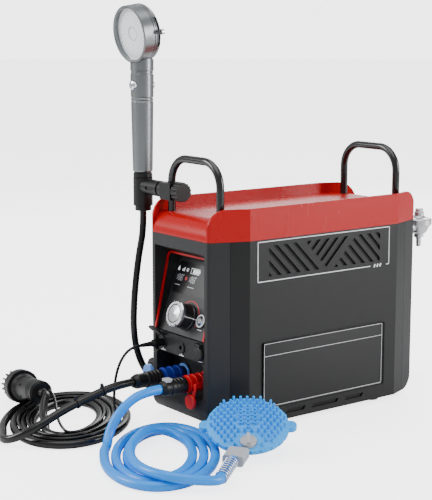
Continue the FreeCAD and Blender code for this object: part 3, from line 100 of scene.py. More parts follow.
def softbox(name, place, target, width, height, power):
    light = bpy.data.lights.new(name, "AREA")
    light.shape = "RECTANGLE"
    light.size = width
    light.size_y = height
    light.energy = power
    lamp = bpy.data.objects.new(name, light)
    bpy.context.scene.collection.objects.link(lamp)
    lamp.location = place
    lamp.rotation_euler = (Vector(target) - Vector(place)).to_track_quat("-Z", "Y").to_euler()


# How bright the sky is on the objects and in the picture, and what the paper adds in the picture.
SKY_ON_OBJECTS = 0.62
SKY_IN_VIEW = 4.0
PAPER_IN_VIEW = 3.0


def light_studio():
    softbox("front_softbox", (-1.7, -2.3, 1.7), (0, -0.15, 0.25), 1.5, 1.5, 80)
    softbox("side_softbox", (2.3, 1.9, 1.0), (0.05, 0.05, 0.18), 1.1, 1.6, 70)
    softbox("top_softbox", (0.3, -0.4, 2.4), (0, 0, 0.2), 2.2, 2.2, 40)
    softbox("back_softbox", (-1.6, 1.8, 1.6), (0, 0, 0.3), 1.4, 1.4, 34)
    world = bpy.data.worlds.new("studio_air")
    world.use_nodes = True
    sky = world.node_tree.nodes["Background"]
    sky.inputs["Color"].default_value = (0.98, 0.985, 1.0, 1)
    path = world.node_tree.nodes.new("ShaderNodeLightPath")
    seen = world.node_tree.nodes.new("ShaderNodeMapRange")
    seen.inputs["To Min"].default_value = SKY_ON_OBJECTS
    seen.inputs["To Max"].default_value = SKY_IN_VIEW
    world.node_tree.links.new(path.outputs["Is Camera Ray"], seen.inputs["Value"])
    world.node_tree.links.new(seen.outputs["Result"], sky.inputs["Strength"])
    bpy.context.scene.world = world


# Finishes

class Amount:
    """A socket of a finish, which takes part in sums."""

    def __init__(self, finish, socket):
        self.finish = finish
        self.socket = socket

    def sum_of(self, operation, first, second):
        return self.finish.node("ShaderNodeMath", {"operation": operation}, {0: first, 1: second})

    def __add__(self, other):
        return self.sum_of("ADD", self, other)

    def __sub__(self, other):
        return self.sum_of("SUBTRACT", self, other)

    def __mul__(self, other):
        return self.sum_of("MULTIPLY", self, other)

    def __gt__(self, other):
        return self.sum_of("GREATER_THAN", self, other)

    def __lt__(self, other):
        return self.sum_of("LESS_THAN", self, other)


class Finish:
    """One surface finish, with the one way in which its nodes are added."""

    def __init__(self, name, colour, roughness, metallic=0.0, coat=0.0, shine=0.5):
        self.material = bpy.data.materials.new(name)
        self.material.use_nodes = True
        self.tree = self.material.node_tree
        self.shader = self.tree.nodes["Principled BSDF"]
        self.colour = (*colour, 1.0)
        self.roughness = roughness
        self.shader.inputs["Base Color"].default_value = self.colour
        self.shader.inputs["Roughness"].default_value = roughness
        self.shader.inputs["Metallic"].default_value = metallic
        self.shader.inputs["Coat Weight"].default_value = coat
        self.shader.inputs["Coat Roughness"].default_value = 0.08
        self.shader.inputs["Specular IOR Level"].default_value = shine
        self.material.diffuse_color = self.colour
        self.place = self.node("ShaderNodeTexCoord", {}, {}, "Object")

    def node(self, kind, settings, sockets, output=0):
        made = self.tree.nodes.new(kind)
        for setting, value in settings.items():
            setattr(made, setting, value)
        for key, value in sockets.items():
            if isinstance(value, Amount):
                self.tree.links.new(value.socket, made.inputs[key])
            else:
                made.inputs[key].default_value = value
        return Amount(self, made.outputs[output])

    def feed(self, socket, amount):
        self.tree.links.new(amount.socket, self.shader.inputs[socket])

    def grain(self, size, detail=2.0, stretch=(1, 1, 1)):
        """Noise whose spots are about this size in metres."""
        scale = tuple(s * 0.5 / size for s in stretch)
        vector = self.node("ShaderNodeMapping", {}, {"Vector": self.place, "Scale": scale})
        return self.node("ShaderNodeTexNoise", {}, {"Vector": vector, "Scale": 1.0, "Detail": detail})

    def along(self, axis, origin):
        """How far a point lies from origin along an axis."""
        offset = self.node("ShaderNodeVectorMath", {"operation": "SUBTRACT"}, {0: self.place, 1: origin})
        return self.node("ShaderNodeVectorMath", {"operation": "DOT_PRODUCT"}, {0: offset, 1: axis}, "Value")

    def between(self, share, first, second):
        return self.node("ShaderNodeMix", {"data_type": "RGBA"}, {0: share, 6: first, 7: second}, 2)

    def relief(self, height, depth):
        bump = self.node("ShaderNodeBump", {}, {"Height": height, "Distance": depth, "Strength": 1.0})
        self.feed("Normal", bump)

    def shaded(self, factor):
        return (*(min(c * factor, 1.0) for c in self.colour[:3]), 1.0)

    def wear(self, cloud=0.10, light=1.25, dark=0.8, handled=0.10):
        """Slow changes of colour and gloss, as from handling and dust."""
        broad = self.grain(cloud, 3.0)
        self.feed("Base Color", self.between(broad, self.shaded(dark), self.shaded(light)))
        smears = self.grain(0.018, 4.0, (1, 1, 0.35))
        self.feed("Roughness", smears * (2 * handled) + (self.roughness - handled))


def moulded(name, colour, roughness, texture=0.0007, depth=0.00005, shine=0.3):
    """Plastic from a mould with a fine spark-eroded texture."""
    finish = Finish(name, colour, roughness, shine=shine)
    finish.wear(0.09, 1.12, 0.88, 0.05)
    finish.relief(finish.grain(texture, 3.0), depth)
    return finish


def glossy(name, colour, roughness, coat, peel=0.0035, depth=0.00002, shine=0.5):
    """Smooth plastic whose gloss waves a little, as it leaves the mould."""
    finish = Finish(name, colour, roughness, coat=coat, shine=shine)
    finish.wear(0.12, 1.06, 0.93, 0.02)
    finish.relief(finish.grain(peel, 1.0), depth)
    return finish


def powder_coat(name, colour, roughness):
    """Baked powder on steel sheet: a fine, even orange peel."""
    finish = Finish(name, colour, roughness, shine=0.28)
    finish.wear(0.16, 1.15, 0.88, 0.03)
    finish.relief(finish.grain(0.0011, 2.0) + finish.grain(0.0004, 2.0) * 0.5, 0.00006)
    return finish


def brushed(name, colour, roughness, stretch, metallic=1.0):
    """Metal with fine lines left by the brush or the lathe."""
    finish = Finish(name, colour, roughness, metallic)
    lines = finish.grain(0.0005, 3.0, stretch)
    finish.feed("Roughness", lines * 0.22 + (roughness - 0.11))
    cloud = finish.grain(0.03, 3.0)
    finish.feed("Base Color", finish.between(cloud, finish.shaded(0.86), finish.shaded(1.1)))
    finish.relief(lines, 0.00002)
    return finish


def polished(name, colour, roughness):
    """Chrome plate with the faint haze of handling."""
    finish = Finish(name, colour, roughness, 1.0)
    haze = finish.grain(0.012, 4.0)
    finish.feed("Roughness", haze * 0.12 + (roughness - 0.04))
    finish.feed("Base Color", finish.between(haze, finish.shaded(0.92), finish.shaded(1.0)))
    return finish


def soft_rubber(name, colour, roughness, inner=0.0):
    """Rubber or silicone, dull, with a faint skin texture."""
    finish = Finish(name, colour, roughness)
    finish.shader.inputs["Subsurface Weight"].default_value = inner
    finish.shader.inputs["Subsurface Radius"].default_value = (0.004, 0.006, 0.01)
    finish.wear(0.05, 1.12, 0.86, 0.07)
    finish.relief(finish.grain(0.0009, 3.0), 0.00005)
    return finish


def hose_skin(name, colour, roughness, shine):
    """Extruded hose: smooth, with slight waves and rubbed places."""
    finish = Finish(name, colour, roughness, shine=shine)
    finish.wear(0.035, 1.12, 0.9, 0.04)
    finish.relief(finish.grain(0.007, 1.0), 0.00006)
    return finish


def knob_finish():
    """Dark grip below, polished bezel and spun face above, with a pointer line on the side, and painted shade
    in the face's groove.
    """
    finish = Finish("knob_finish", (0.72, 0.73, 0.75), 0.16, 1.0)
    foot = tuple(PANEL @ Vector((0, CONTROLS_UP, 0)))
    height = finish.along(tuple(PANEL_OUT), foot)
    across = finish.along((1, 0, 0), foot)
    upward = finish.along(tuple(PANEL_UP), foot)
    bezel = height > 0.0208
    pointer = (across > 0.0168) * (upward > -0.0007) * (upward < 0.0007) * (height < 0.0205)
    reach = across * across + upward * upward
    # The ring of the face's groove is painted near-black: painted shade in the recess.
    groove_shade = (reach > 0.0131 ** 2) * (reach < 0.0148 ** 2)
    lines = finish.grain(0.0006, 3.0, (1, 0.1, 1))
    silver = finish.between(lines, (0.60, 0.61, 0.63, 1), (0.80, 0.81, 0.83, 1))
    silver = finish.between(groove_shade, silver, (0.05, 0.05, 0.052, 1))
    dark = finish.between(bezel, (0.012, 0.012, 0.013, 1), silver)
    finish.feed("Base Color", finish.between(pointer, dark, (0.9, 0.9, 0.9, 1)))
    finish.feed("Metallic", bezel * 0.95)
    finish.feed("Roughness", lines * 0.1 + 0.3 - bezel * 0.16)
    return finish


def circuit_board():
    """Green board with darker tracks."""
    finish = Finish("board_finish", (0.02, 0.16, 0.06), 0.35)
    tracks = finish.node("ShaderNodeTexBrick", {"offset": 0.5}, {
        "Vector": finish.place, "Scale": 90.0, "Mortar Size": 0.03,
        "Color1": (0.02, 0.16, 0.06, 1), "Color2": (0.025, 0.19, 0.075, 1), "Mortar": (0.25, 0.2, 0.08, 1)})
    finish.feed("Base Color", tracks)
    finish.relief(finish.grain(0.002), 0.0001)
    return finish


def glowing(name, colour, strength):
    """Lit marks of the display."""
    finish = Finish(name, colour, 0.4)
    flicker = finish.grain(0.004, 2.0)
    finish.feed("Emission Color", finish.between(flicker, finish.shaded(0.8), finish.shaded(1.0)))
    finish.shader.inputs["Emission Strength"].default_value = strength
    return finish


FINISHES = {
    "panel_paint": powder_coat("panel_paint", (0.007, 0.007, 0.0073), 0.40),
    "dark_plastic": moulded("dark_plastic", (0.017, 0.0175, 0.018), 0.46, 0.0009, 0.00007),
    "fascia_plastic": moulded("fascia_plastic", (0.040, 0.041, 0.042), 0.40),
    "smoked_window": glossy("smoked_window", (0.012, 0.012, 0.013), 0.30, 0.0),
    "red_cover": glossy("red_cover", (0.40, 0.0004, 0.001), 0.27, 0.0, shine=0.26),
    "red_plastic": glossy("red_plastic", (0.50, 0.001, 0.004), 0.30, 0.0, 0.002),
    "blue_plastic": glossy("blue_plastic", (0.004, 0.022, 0.26), 0.30, 0.0, 0.002),
    "pale_blue_rubber": soft_rubber("pale_blue_rubber", (0.16, 0.36, 0.88), 0.42, 0.15),
    "red_rubber": soft_rubber("red_rubber", (0.66, 0.008, 0.014), 0.42, 0.1),
    "black_tube": glossy("black_tube", (0.004, 0.004, 0.0045), 0.2, 0.2, 0.002),
    "black_rubber": soft_rubber("black_rubber", (0.008, 0.008, 0.008), 0.62),
    "black_plastic": moulded("black_plastic", (0.007, 0.007, 0.0075), 0.36, 0.0008),
    "black_hose": hose_skin("black_hose", (0.003, 0.003, 0.0032), 0.26, 0.42),
    "blue_hose": hose_skin("blue_hose", (0.004, 0.26, 0.84), 0.30, 0.4),
    "blue_silicone": soft_rubber("blue_silicone", (0.006, 0.36, 0.90), 0.46, 0.1),
    "grey_white": glossy("grey_white", (0.42, 0.43, 0.45), 0.34, 0.1, 0.002),
    "gunmetal": brushed("gunmetal", (0.22, 0.235, 0.24), 0.32, (1, 1, 0.25), 0.9),
    "silver_metal": brushed("silver_metal", (0.58, 0.58, 0.60), 0.36, (1, 1, 1)),
    "bright_metal": polished("bright_metal", (0.82, 0.83, 0.85), 0.12),
    "spray_face": moulded("spray_face", (0.86, 0.88, 0.89), 0.35, 0.0012),
    "copper": brushed("copper", (0.72, 0.32, 0.18), 0.34, (1, 1, 0.2)),
    "brass": brushed("brass", (0.68, 0.50, 0.20), 0.34, (1, 0.3, 1)),
    "steel": brushed("steel", (0.50, 0.50, 0.51), 0.34, (0.2, 1, 1)),
    "board": circuit_board(),
    "knob": knob_finish(),
    "white_print": moulded("white_print", (0.80, 0.81, 0.82), 0.45, 0.0006, 0.00002),
    "red_print": moulded("red_print", (0.55, 0.02, 0.03), 0.4, 0.0006, 0.00002),
    "bare_label": moulded("bare_label", (0.010, 0.010, 0.0105), 0.30, 0.0016, 0.00003),
    # Near-black matte sheet behind the side slots: painted shade seen through them.
    "grille_shade_sheet": moulded("grille_shade_sheet", (0.006, 0.006, 0.006), 0.7, 0.0012, 0.0002),
    "lit_white": glowing("lit_white", (0.85, 0.88, 0.9), 0.9),
    "lit_dim": glowing("lit_dim", (0.50, 0.53, 0.55), 0.35),
    "lit_red": glowing("lit_red", (0.70, 0.06, 0.06), 0.4),
}

OWN_FINISH = {"control_knob": "knob"}


def finish_nodes():
    for part in frame["record"]["subparts"]:
        piece = nodes[part["node"]]
        chosen = OWN_FINISH.get(part["node"], part["material_slot"])
        piece.data.materials.clear()
        piece.data.materials.append(FINISHES[chosen].material)


# Hoses and cable

TURN_POINTS = 12


def lane(centre, halves, turned_by, drawn, z):
    """A point of an oval spiral. The line passes inside its points, so they stand a little further out."""
    angle = math.radians(turned_by)
    out = 1 / math.cos(math.pi / TURN_POINTS)
    flat = Vector(centre) + TOWARD * ((halves[0] - drawn) * out * math.cos(angle))
    flat = flat + ACROSS * ((halves[1] - drawn) * out * math.sin(angle))
    return Vector((flat.x, flat.y, z))


def ease(value):
    value = min(max(value, 0.0), 1.0)
    return value * value * (3 - 2 * value)


HANK_CENTRE = (-0.108, -0.342, 0)
HANK_HALVES = (0.138, 0.096)
HANK_TURNS = 3.88
HANK_PITCH = 0.0139
HANK_START = -80
HANK_Z = 0.0063
BRUSH_COIL_CENTRE = (0.118, -0.322, 0)
BRUSH_COIL_HALVES = (0.138, 0.082)
BRUSH_COIL_TURNS = 2.63
BRUSH_COIL_PITCH = 0.016
BRUSH_COIL_START = -95
BRUSH_COIL_Z = 0.00705
SHOWER_COIL_CENTRE = (-0.176, 0.020, 0)
SHOWER_COIL_HALVES = (0.066, 0.066)
SHOWER_COIL_TURNS = 2.85
SHOWER_COIL_FLAT = 2.25
SHOWER_COIL_SPREAD = 2.6
SHOWER_COIL_PITCH = 0.0119
SHOWER_COIL_Z = 0.0056


def turns_between(first, last):
    count = round((last - first) * TURN_POINTS)
    return [first + (last - first) * i / count for i in range(count + 1)]


def hank(half_lane, first, last, z):
    """The hank of pump hose, or of the cable in the grooves between its turns."""
    points = []
    for turn in turns_between(first, last):
        drawn = HANK_PITCH * (turn + half_lane)
        points.append(lane(HANK_CENTRE, HANK_HALVES, HANK_START - 360 * turn, drawn, z))
    return points


def wound_brush_hose():
    points = []
    for turn in turns_between(0, BRUSH_COIL_TURNS):
        drawn = BRUSH_COIL_PITCH * turn
        turned_by = BRUSH_COIL_START + 360 * turn
        points.append(lane(BRUSH_COIL_CENTRE, BRUSH_COIL_HALVES, turned_by, drawn, BRUSH_COIL_Z))
    return points


def wound_shower_hose():
    """Turns that draw in on the floor, and a last part that climbs over them and spreads again."""
    start = math.degrees(math.atan2(-TOWARD.y, TOWARD.x))
    points = []
    for turn in turns_between(0, SHOWER_COIL_TURNS):
        spread = max(turn - SHOWER_COIL_FLAT, 0.0)
        drawn = SHOWER_COIL_PITCH * (min(turn, SHOWER_COIL_FLAT) - SHOWER_COIL_SPREAD * spread)
        z = SHOWER_COIL_Z + ease((turn - 2.0) / 0.25) * 0.0117 + 0.003 * ease((turn - 2.4) / 0.4)
        points.append(lane(SHOWER_COIL_CENTRE, SHOWER_COIL_HALVES, start + 360 * turn, drawn, z))
    return points


def lay_cord(name, route, diameter, finish, stands_for):
    """One round cord along its route, which takes the place of the plain pieces of the same cord."""
    curve = bpy.data.curves.new(name, "CURVE")
    curve.dimensions = "3D"
    spline = curve.splines.new("NURBS")
    spline.points.add(len(route) - 1)
    for point, place in zip(spline.points, route):
        point.co = (*place, 1)
    spline.order_u = 3
    spline.use_endpoint_u = True
    spline.use_smooth = True
    curve.resolution_u = 7
    curve.bevel_depth = diameter / 2
    curve.bevel_resolution = 6
    curve.use_fill_caps = True
    curve.materials.append(FINISHES[finish].material)
    cord = bpy.data.objects.new(name, curve)
    bpy.context.scene.collection.objects.link(cord)
    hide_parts(*stands_for)
    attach(cord, "root")
    return cord


# Where the pump's glands and the brush's spring guard take their cords.
PUMP_AXIS = Vector((0.985, -0.14, 0.125)).normalized()
PUMP_REAR = Vector((-0.158, -0.361, 0.0398))
GLAND_SIDE = Vector((-PUMP_AXIS.y, PUMP_AXIS.x, 0)).normalized()
GUARD_START = Vector((0.258, -0.326, 0.011))
GUARD_AXIS = Vector((-0.60, 0.79, 0.09)).normalized()


def lay_pump_hose():
    mouth = PUMP_REAR + PUMP_AXIS * 0.0143
    route = [(-0.029, -0.275, 0.071), (-0.029, -0.306, 0.071), (-0.029, -0.350, 0.061), (-0.029, -0.396, 0.049),
             (-0.0295, -0.440, 0.031), (-0.046, -0.467, 0.015), (-0.073, -0.474, 0.0075),
             (-0.105, -0.456, HANK_Z)]
    route += hank(0, 0, HANK_TURNS, HANK_Z)
    route += [(-0.0845, -0.3955, 0.012), (-0.107, -0.387, 0.022), (-0.1245, -0.3755, 0.0345),
              mouth + PUMP_AXIS * 0.010, mouth]
    cord = lay_cord("pump_hose_line", route, 0.0125, "black_hose", ["pump_hose", "pump_hose_coil"])


def lay_pump_cable():
    mouth = PUMP_REAR + GLAND_SIDE * 0.0115 + PUMP_AXIS * 0.0103
    route = [(-0.048, -0.248, 0.120), (-0.048, -0.264, 0.120), (-0.050, -0.280, 0.107), (-0.052, -0.290, 0.084),
             (-0.051, -0.295, 0.058), (-0.045, -0.299, 0.037), (-0.034, -0.304, 0.021),
             (-0.0213, -0.3134, 0.0146)]
    route += hank(0.5, 0.625, 2.75, 0.0133)
    route += [(-0.046, -0.391, 0.019), (-0.076, -0.380, 0.023), (-0.108, -0.363, 0.028),
              mouth + PUMP_AXIS * 0.010, mouth]
    cord = lay_cord("pump_cable_line", route, 0.0045, "black_hose", ["pump_cable", "pump_cable_coil"])


def lay_brush_hose():
    end = GUARD_START + GUARD_AXIS * 0.062
    route = [(0.029, -0.265, 0.071), (0.029, -0.294, 0.071), (0.029, -0.320, 0.062), (0.028, -0.342, 0.042),
             (0.032, -0.358, 0.020), (0.044, -0.368, BRUSH_COIL_Z)]
    route += wound_brush_hose()
    route += [(0.0475, -0.266, 0.013), (0.047, -0.2985, 0.022), (0.085, -0.352, 0.022), (0.138, -0.392, 0.022),
              (0.195, -0.407, 0.022), (0.240, -0.391, 0.0215), (0.257, -0.358, 0.015),
              GUARD_START - GUARD_AXIS * 0.006, GUARD_START + GUARD_AXIS * 0.006, end]
    cord = lay_cord("brush_hose_line", route, 0.014, "blue_hose", ["brush_hose", "brush_hose_coil"])


def lay_shower_hose():
    route = [(-0.142, -0.179, 0.3107), (-0.142, -0.179, 0.280), (-0.141, -0.188, 0.246),
             (-0.140, -0.196, 0.200), (-0.139, -0.201, 0.156), (-0.138, -0.202, 0.117), (-0.137, -0.196, 0.082),
             (-0.136, -0.182, 0.052), (-0.134, -0.160, 0.027), (-0.131, -0.130, 0.010),
             (-0.124, -0.096, 0.0058), (-0.114, -0.058, SHOWER_COIL_Z), (-0.110, -0.018, SHOWER_COIL_Z)]
    route += wound_shower_hose()
    cord = lay_cord("shower_hose_line", route, 0.011, "black_hose", ["shower_hose", "shower_hose_coil"])


# Modelling by hand

# The thickness of a printed mark, and how far it stands off its face.
PRINT = 0.0001
CLEAR = 0.00002


def nothing_selected():
    if bpy.context.object and bpy.context.object.mode != "OBJECT":
        bpy.ops.object.mode_set(mode="OBJECT")
    bpy.ops.object.select_all(action="DESELECT")


def only(piece):
    nothing_selected()
    piece.select_set(True)
    bpy.context.view_layer.objects.active = piece


def copied(piece, place):
    twin = piece.copy()
    twin.data = piece.data.copy()
    bpy.context.scene.collection.objects.link(twin)
    twin.data.transform(place)
    return twin


def joined(pieces):
    only(pieces[0])
    for piece in pieces[1:]:
        piece.select_set(True)
    bpy.ops.object.join()
    return bpy.context.object


def thrown_away(piece):
    bpy.data.objects.remove(piece)


def settled(piece, name, body, finish, place=None, angle=35):
    """Puts the piece's place into its mesh, gives it its finish and lets it ride."""
    only(piece)
    bpy.ops.object.transform_apply(location=True, rotation=True, scale=True)
    if place is not None:
        piece.data.transform(place)
    bpy.ops.object.shade_smooth_by_angle(angle=math.radians(angle))
    piece.name = name
    piece.data.name = name
    piece.data.materials.clear()
    piece.data.materials.append(FINISHES[finish].material)
    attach(piece, body)


def applied(piece, kind, **settings):
    only(piece)
    modifier = piece.modifiers.new(kind.lower(), kind)
    for setting, value in settings.items():
        setattr(modifier, setting, value)
    bpy.ops.object.modifier_apply(modifier=modifier.name)


def bar(x, y, width, height, lift=0.0, thick=PRINT, round_by=0.0):
    """A thin flat bar with softened edges, drawn on the flat."""
    nothing_selected()
    bpy.ops.mesh.primitive_cube_add(size=1, location=(x, y, lift + thick / 2), scale=(width, height, thick))
    piece = bpy.context.object
    bpy.ops.object.transform_apply(location=True, rotation=True, scale=True)
    if round_by > 0:
        for vertex in piece.data.vertices:
            vertex.select = False
        for face in piece.data.polygons:
            face.select = False
        for edge in piece.data.edges:
            one_end, other_end = (piece.data.vertices[v].co.z for v in edge.vertices)
            edge.select = abs(one_end - other_end) > thick / 2
        bpy.ops.object.mode_set(mode="EDIT")
        bpy.ops.mesh.select_mode(type="EDGE")
        bpy.ops.mesh.bevel(offset=round_by, segments=6, affect="EDGES")
        bpy.ops.object.mode_set(mode="OBJECT")
    return piece


def arc_band(radius, width, lift=0.0, thick=PRINT, first=-180, last=180, points=96):
    """A flat band round the z axis, from one angle to the other in degrees."""
    closed = last - first > 359
    steps = round(points * (last - first) / 360)
    stations = steps if closed else steps + 1
    corners = []
    for i in range(stations):
        angle = math.radians(first + (last - first) * i / steps)
        corners += [(reach * math.cos(angle), reach * math.sin(angle), 0) for reach in (radius, radius + width)]
    faces = []
    for i in range(steps):
        here = 2 * i
        after = 2 * ((i + 1) % stations)
        faces.append((here, here + 1, after + 1, after))
    mesh = bpy.data.meshes.new("band")
    mesh.from_pydata(corners, [], faces)
    piece = bpy.data.objects.new("band", mesh)
    bpy.context.scene.collection.objects.link(piece)
    applied(piece, "SOLIDIFY", thickness=thick, offset=0)
    piece.data.transform(Matrix.Translation((0, 0, lift + thick / 2)))
    return piece


def knob_like(radius, height, top_radius, sides):
    """A short tapered pin with a rounded end."""
    nothing_selected()
    bpy.ops.mesh.primitive_cone_add(vertices=sides, radius1=radius, radius2=top_radius, depth=height,
                                    location=(0, 0, height / 2))
    piece = bpy.context.object
    bpy.ops.object.transform_apply(location=True, rotation=True, scale=True)
    for face in piece.data.polygons:
        face.select = all(abs(piece.data.vertices[v].co.z - height) < 1e-6 for v in face.vertices)
    for edge in piece.data.edges:
        edge.select = all(abs(piece.data.vertices[v].co.z - height) < 1e-6 for v in edge.vertices)
    for vertex in piece.data.vertices:
        vertex.select = abs(vertex.co.z - height) < 1e-6
    bpy.ops.object.mode_set(mode="EDIT")
    bpy.ops.mesh.select_mode(type="FACE")
    bpy.ops.mesh.inset(thickness=top_radius * 0.35, depth=top_radius * 0.42)
    bpy.ops.mesh.inset(thickness=top_radius * 0.35, depth=top_radius * 0.2)
    bpy.ops.object.mode_set(mode="OBJECT")
    return piece


def ring_nozzle(radius, height, wall, sides):
    """A short soft tube standing on a face, its mouth sunk."""
    nothing_selected()
    bpy.ops.mesh.primitive_cylinder_add(vertices=sides, radius=radius, depth=height,
                                        location=(0, 0, height / 2))
    piece = bpy.context.object
    bpy.ops.object.transform_apply(location=True, rotation=True, scale=True)
    for vertex in piece.data.vertices:
        vertex.select = vertex.co.z > height * 0.9
    for edge in piece.data.edges:
        edge.select = all(piece.data.vertices[v].select for v in edge.vertices)
    for face in piece.data.polygons:
        face.select = all(piece.data.vertices[v].select for v in face.vertices)
    bpy.ops.object.mode_set(mode="EDIT")
    bpy.ops.mesh.select_mode(type="FACE")
    bpy.ops.mesh.inset(thickness=wall * 0.3, depth=wall * 0.3)
    bpy.ops.mesh.inset(thickness=wall * 0.7, depth=0)
    bpy.ops.mesh.inset(thickness=wall * 0.1, depth=-height * 0.6)
    bpy.ops.object.mode_set(mode="OBJECT")
    return piece


# Side panels

OUTLINE_LEFT, OUTLINE_RIGHT = -0.135, 0.132
OUTLINE_LOW, OUTLINE_HIGH = 0.227, 0.2868
OUTLINE_GAP = 0.092
STROKES_START = 0.101
STROKE_PITCH = 0.0062
STROKE_LEAN = Matrix.Rotation(math.radians(-24), 4, "Z")
LINE = 0.0013


def side_prints(side, name):
    """The thin printed line round the grille, open at its lower right for three slanted strokes."""
    middle_y = (OUTLINE_LOW + OUTLINE_HIGH) / 2
    tall = OUTLINE_HIGH - OUTLINE_LOW
    bars = [
        bar((OUTLINE_LEFT + OUTLINE_RIGHT) / 2, OUTLINE_HIGH, OUTLINE_RIGHT - OUTLINE_LEFT + LINE, LINE, CLEAR),
        bar(OUTLINE_LEFT, middle_y, LINE, tall, CLEAR),
        bar(OUTLINE_RIGHT, middle_y, LINE, tall, CLEAR),
        bar((OUTLINE_LEFT + OUTLINE_GAP) / 2, OUTLINE_LOW, OUTLINE_GAP - OUTLINE_LEFT, LINE, CLEAR),
        bar(OUTLINE_RIGHT - 0.003, OUTLINE_LOW, 0.006, LINE, CLEAR),
    ]
    for i in range(3):
        stroke = bar(0, 0, 0.0028, 0.0055, CLEAR)
        place = Matrix.Translation((STROKES_START + i * STROKE_PITCH, OUTLINE_LOW, 0))
        stroke.data.transform(place @ STROKE_LEAN)
        bars.append(stroke)
    settled(joined(bars), name + "_outline", "root", "white_print", side)


PLATE_THICK = 0.00018
BORDER = 0.0006


def side_label(side, name):
    """The bare plate where such objects carry their data, with a thin border line."""
    plate = bar(-0.001, 0.0825, 0.248, 0.103, CLEAR, PLATE_THICK, 0.003)
    settled(plate, name + "_plate", "root", "bare_label", side)
    left, right, low, head, high = -0.122, 0.120, 0.034, 0.112, 0.131
    on_plate = CLEAR + PLATE_THICK
    lines = [bar((left + right) / 2, y, right - left, BORDER, on_plate) for y in (high, low)]
    lines += [bar(x, (low + high) / 2, BORDER, high - low, on_plate) for x in (left, right)]
    lines.append(bar((left + right) / 2, head, right - left, BORDER, on_plate))
    settled(joined(lines), name + "_plate_border", "root", "white_print", side)


def side_shade_sheet(side, name):
    """A near-black matte sheet behind the grille and the low vents, a shallow tray with a folded edge: painted
    shade that stands in for the dark seen through the slots.
    """
    sheets = []
    for x, y, width, height in ((0, 0.257, 0.246, 0.052), (0, 0.020, 0.176, 0.012)):
        sheet = bar(x, y, width, height, -0.0034, 0.0006, 0.002)
        for face in sheet.data.polygons:
            face.select = face.normal.z < -0.9
        only(sheet)
        bpy.ops.object.mode_set(mode="EDIT")
        bpy.ops.mesh.select_mode(type="FACE")
        bpy.ops.mesh.inset(thickness=0.0008, depth=0)
        bpy.ops.mesh.inset(thickness=0.0002, depth=-0.0003)
        bpy.ops.object.mode_set(mode="OBJECT")
        sheets.append(sheet)
    settled(joined(sheets), name + "_shade_sheet", "root", "grille_shade_sheet", side)


# Control panel

def digit_strokes(stroke, lit, x, y, wide, tall):
    """The chosen strokes of a seven-stroke digit."""
    flat = Matrix.Diagonal((wide * 0.44, 0.00042, 1, 1))
    upright = Matrix.Rotation(math.radians(90), 4, "Z") @ Matrix.Diagonal((tall * 0.215, 0.00042, 1, 1))
    places = {
        "top": (0, tall / 2, flat), "middle": (0, 0, flat), "bottom": (0, -tall / 2, flat),
        "high_left": (-wide / 2, tall / 4, upright), "high_right": (wide / 2, tall / 4, upright),
        "low_left": (-wide / 2, -tall / 4, upright), "low_right": (wide / 2, -tall / 4, upright),
    }
    strokes = []
    for name in lit:
        right, up, shape = places[name]
        strokes.append(copied(stroke, Matrix.Translation((x + right, y + up, 0)) @ shape))
    return strokes


ALL_STROKES = ["top", "middle", "bottom", "high_left", "high_right", "low_left", "low_right"]
ONE = ["high_right", "low_right"]
GLASS = 0.00022


def flat_stroke():
    """One long six-sided stroke of a digit, of unit half length."""
    nothing_selected()
    bpy.ops.mesh.primitive_circle_add(vertices=6, radius=1, fill_type="NGON")
    piece = bpy.context.object
    corners = ((1, 0), (0.82, 1), (-0.82, 1), (-1, 0), (-0.82, -1), (0.82, -1))
    for vertex, corner in zip(piece.data.vertices, corners):
        vertex.co = (*corner, 0)
    applied(piece, "SOLIDIFY", thickness=PRINT, offset=0)
    return piece


# Places on the panel, across and up from the middle of its lower edge.
READINGS = (-0.0550, -0.0225)
DIGITS_UP = 0.0865
DIGIT = (0.0040, 0.0092)
ICONS_UP = 0.1
BATTERY_X = -0.0150
LEVEL_X = -0.0475
CLOCK_X = -0.0350
FLAME_X = -0.0330
CAPTIONS_UP = 0.0745
CAPTIONS = ((-0.0505, 0.0130), (-0.0160, 0.0165))


def moved(piece, x, y):
    piece.data.transform(Matrix.Translation((x, y, 0)))
    return piece


def shown(pieces, name, finish):
    """Sets marks together on the window's glass."""
    settled(joined(pieces), name, "root", finish, PANEL @ Matrix.Translation((0, 0, GLASS)))


def display_digits():
    """Two readings of two and a half digits, each with a degree ring."""
    stroke = flat_stroke()
    digits = []
    for left in READINGS:
        digits += digit_strokes(stroke, ONE, left - 0.0030, DIGITS_UP, *DIGIT)
        digits += digit_strokes(stroke, ALL_STROKES, left + 0.0040, DIGITS_UP, *DIGIT)
        digits += digit_strokes(stroke, ALL_STROKES, left + 0.0102, DIGITS_UP, *DIGIT)
        digits.append(moved(arc_band(0.0008, 0.0004, points=16), left + 0.0143, DIGITS_UP + 0.0043))
    thrown_away(stroke)
    shown(digits, "display_digits", "lit_dim")


def battery_mark():
    half_wide, half_tall, line = 0.0105, 0.0042, 0.0006
    marks = [bar(BATTERY_X, ICONS_UP + side * half_tall, 2 * half_wide, line) for side in (1, -1)]
    marks += [bar(BATTERY_X + side * half_wide, ICONS_UP, line, 0.0088) for side in (-1, 1)]
    marks.append(bar(BATTERY_X + 0.0118, ICONS_UP, 0.0012, 0.0040))
    marks += [bar(BATTERY_X - 0.0030 + i * 0.0054, ICONS_UP, 0.0042, 0.0062, round_by=0.0004) for i in range(3)]
    return marks


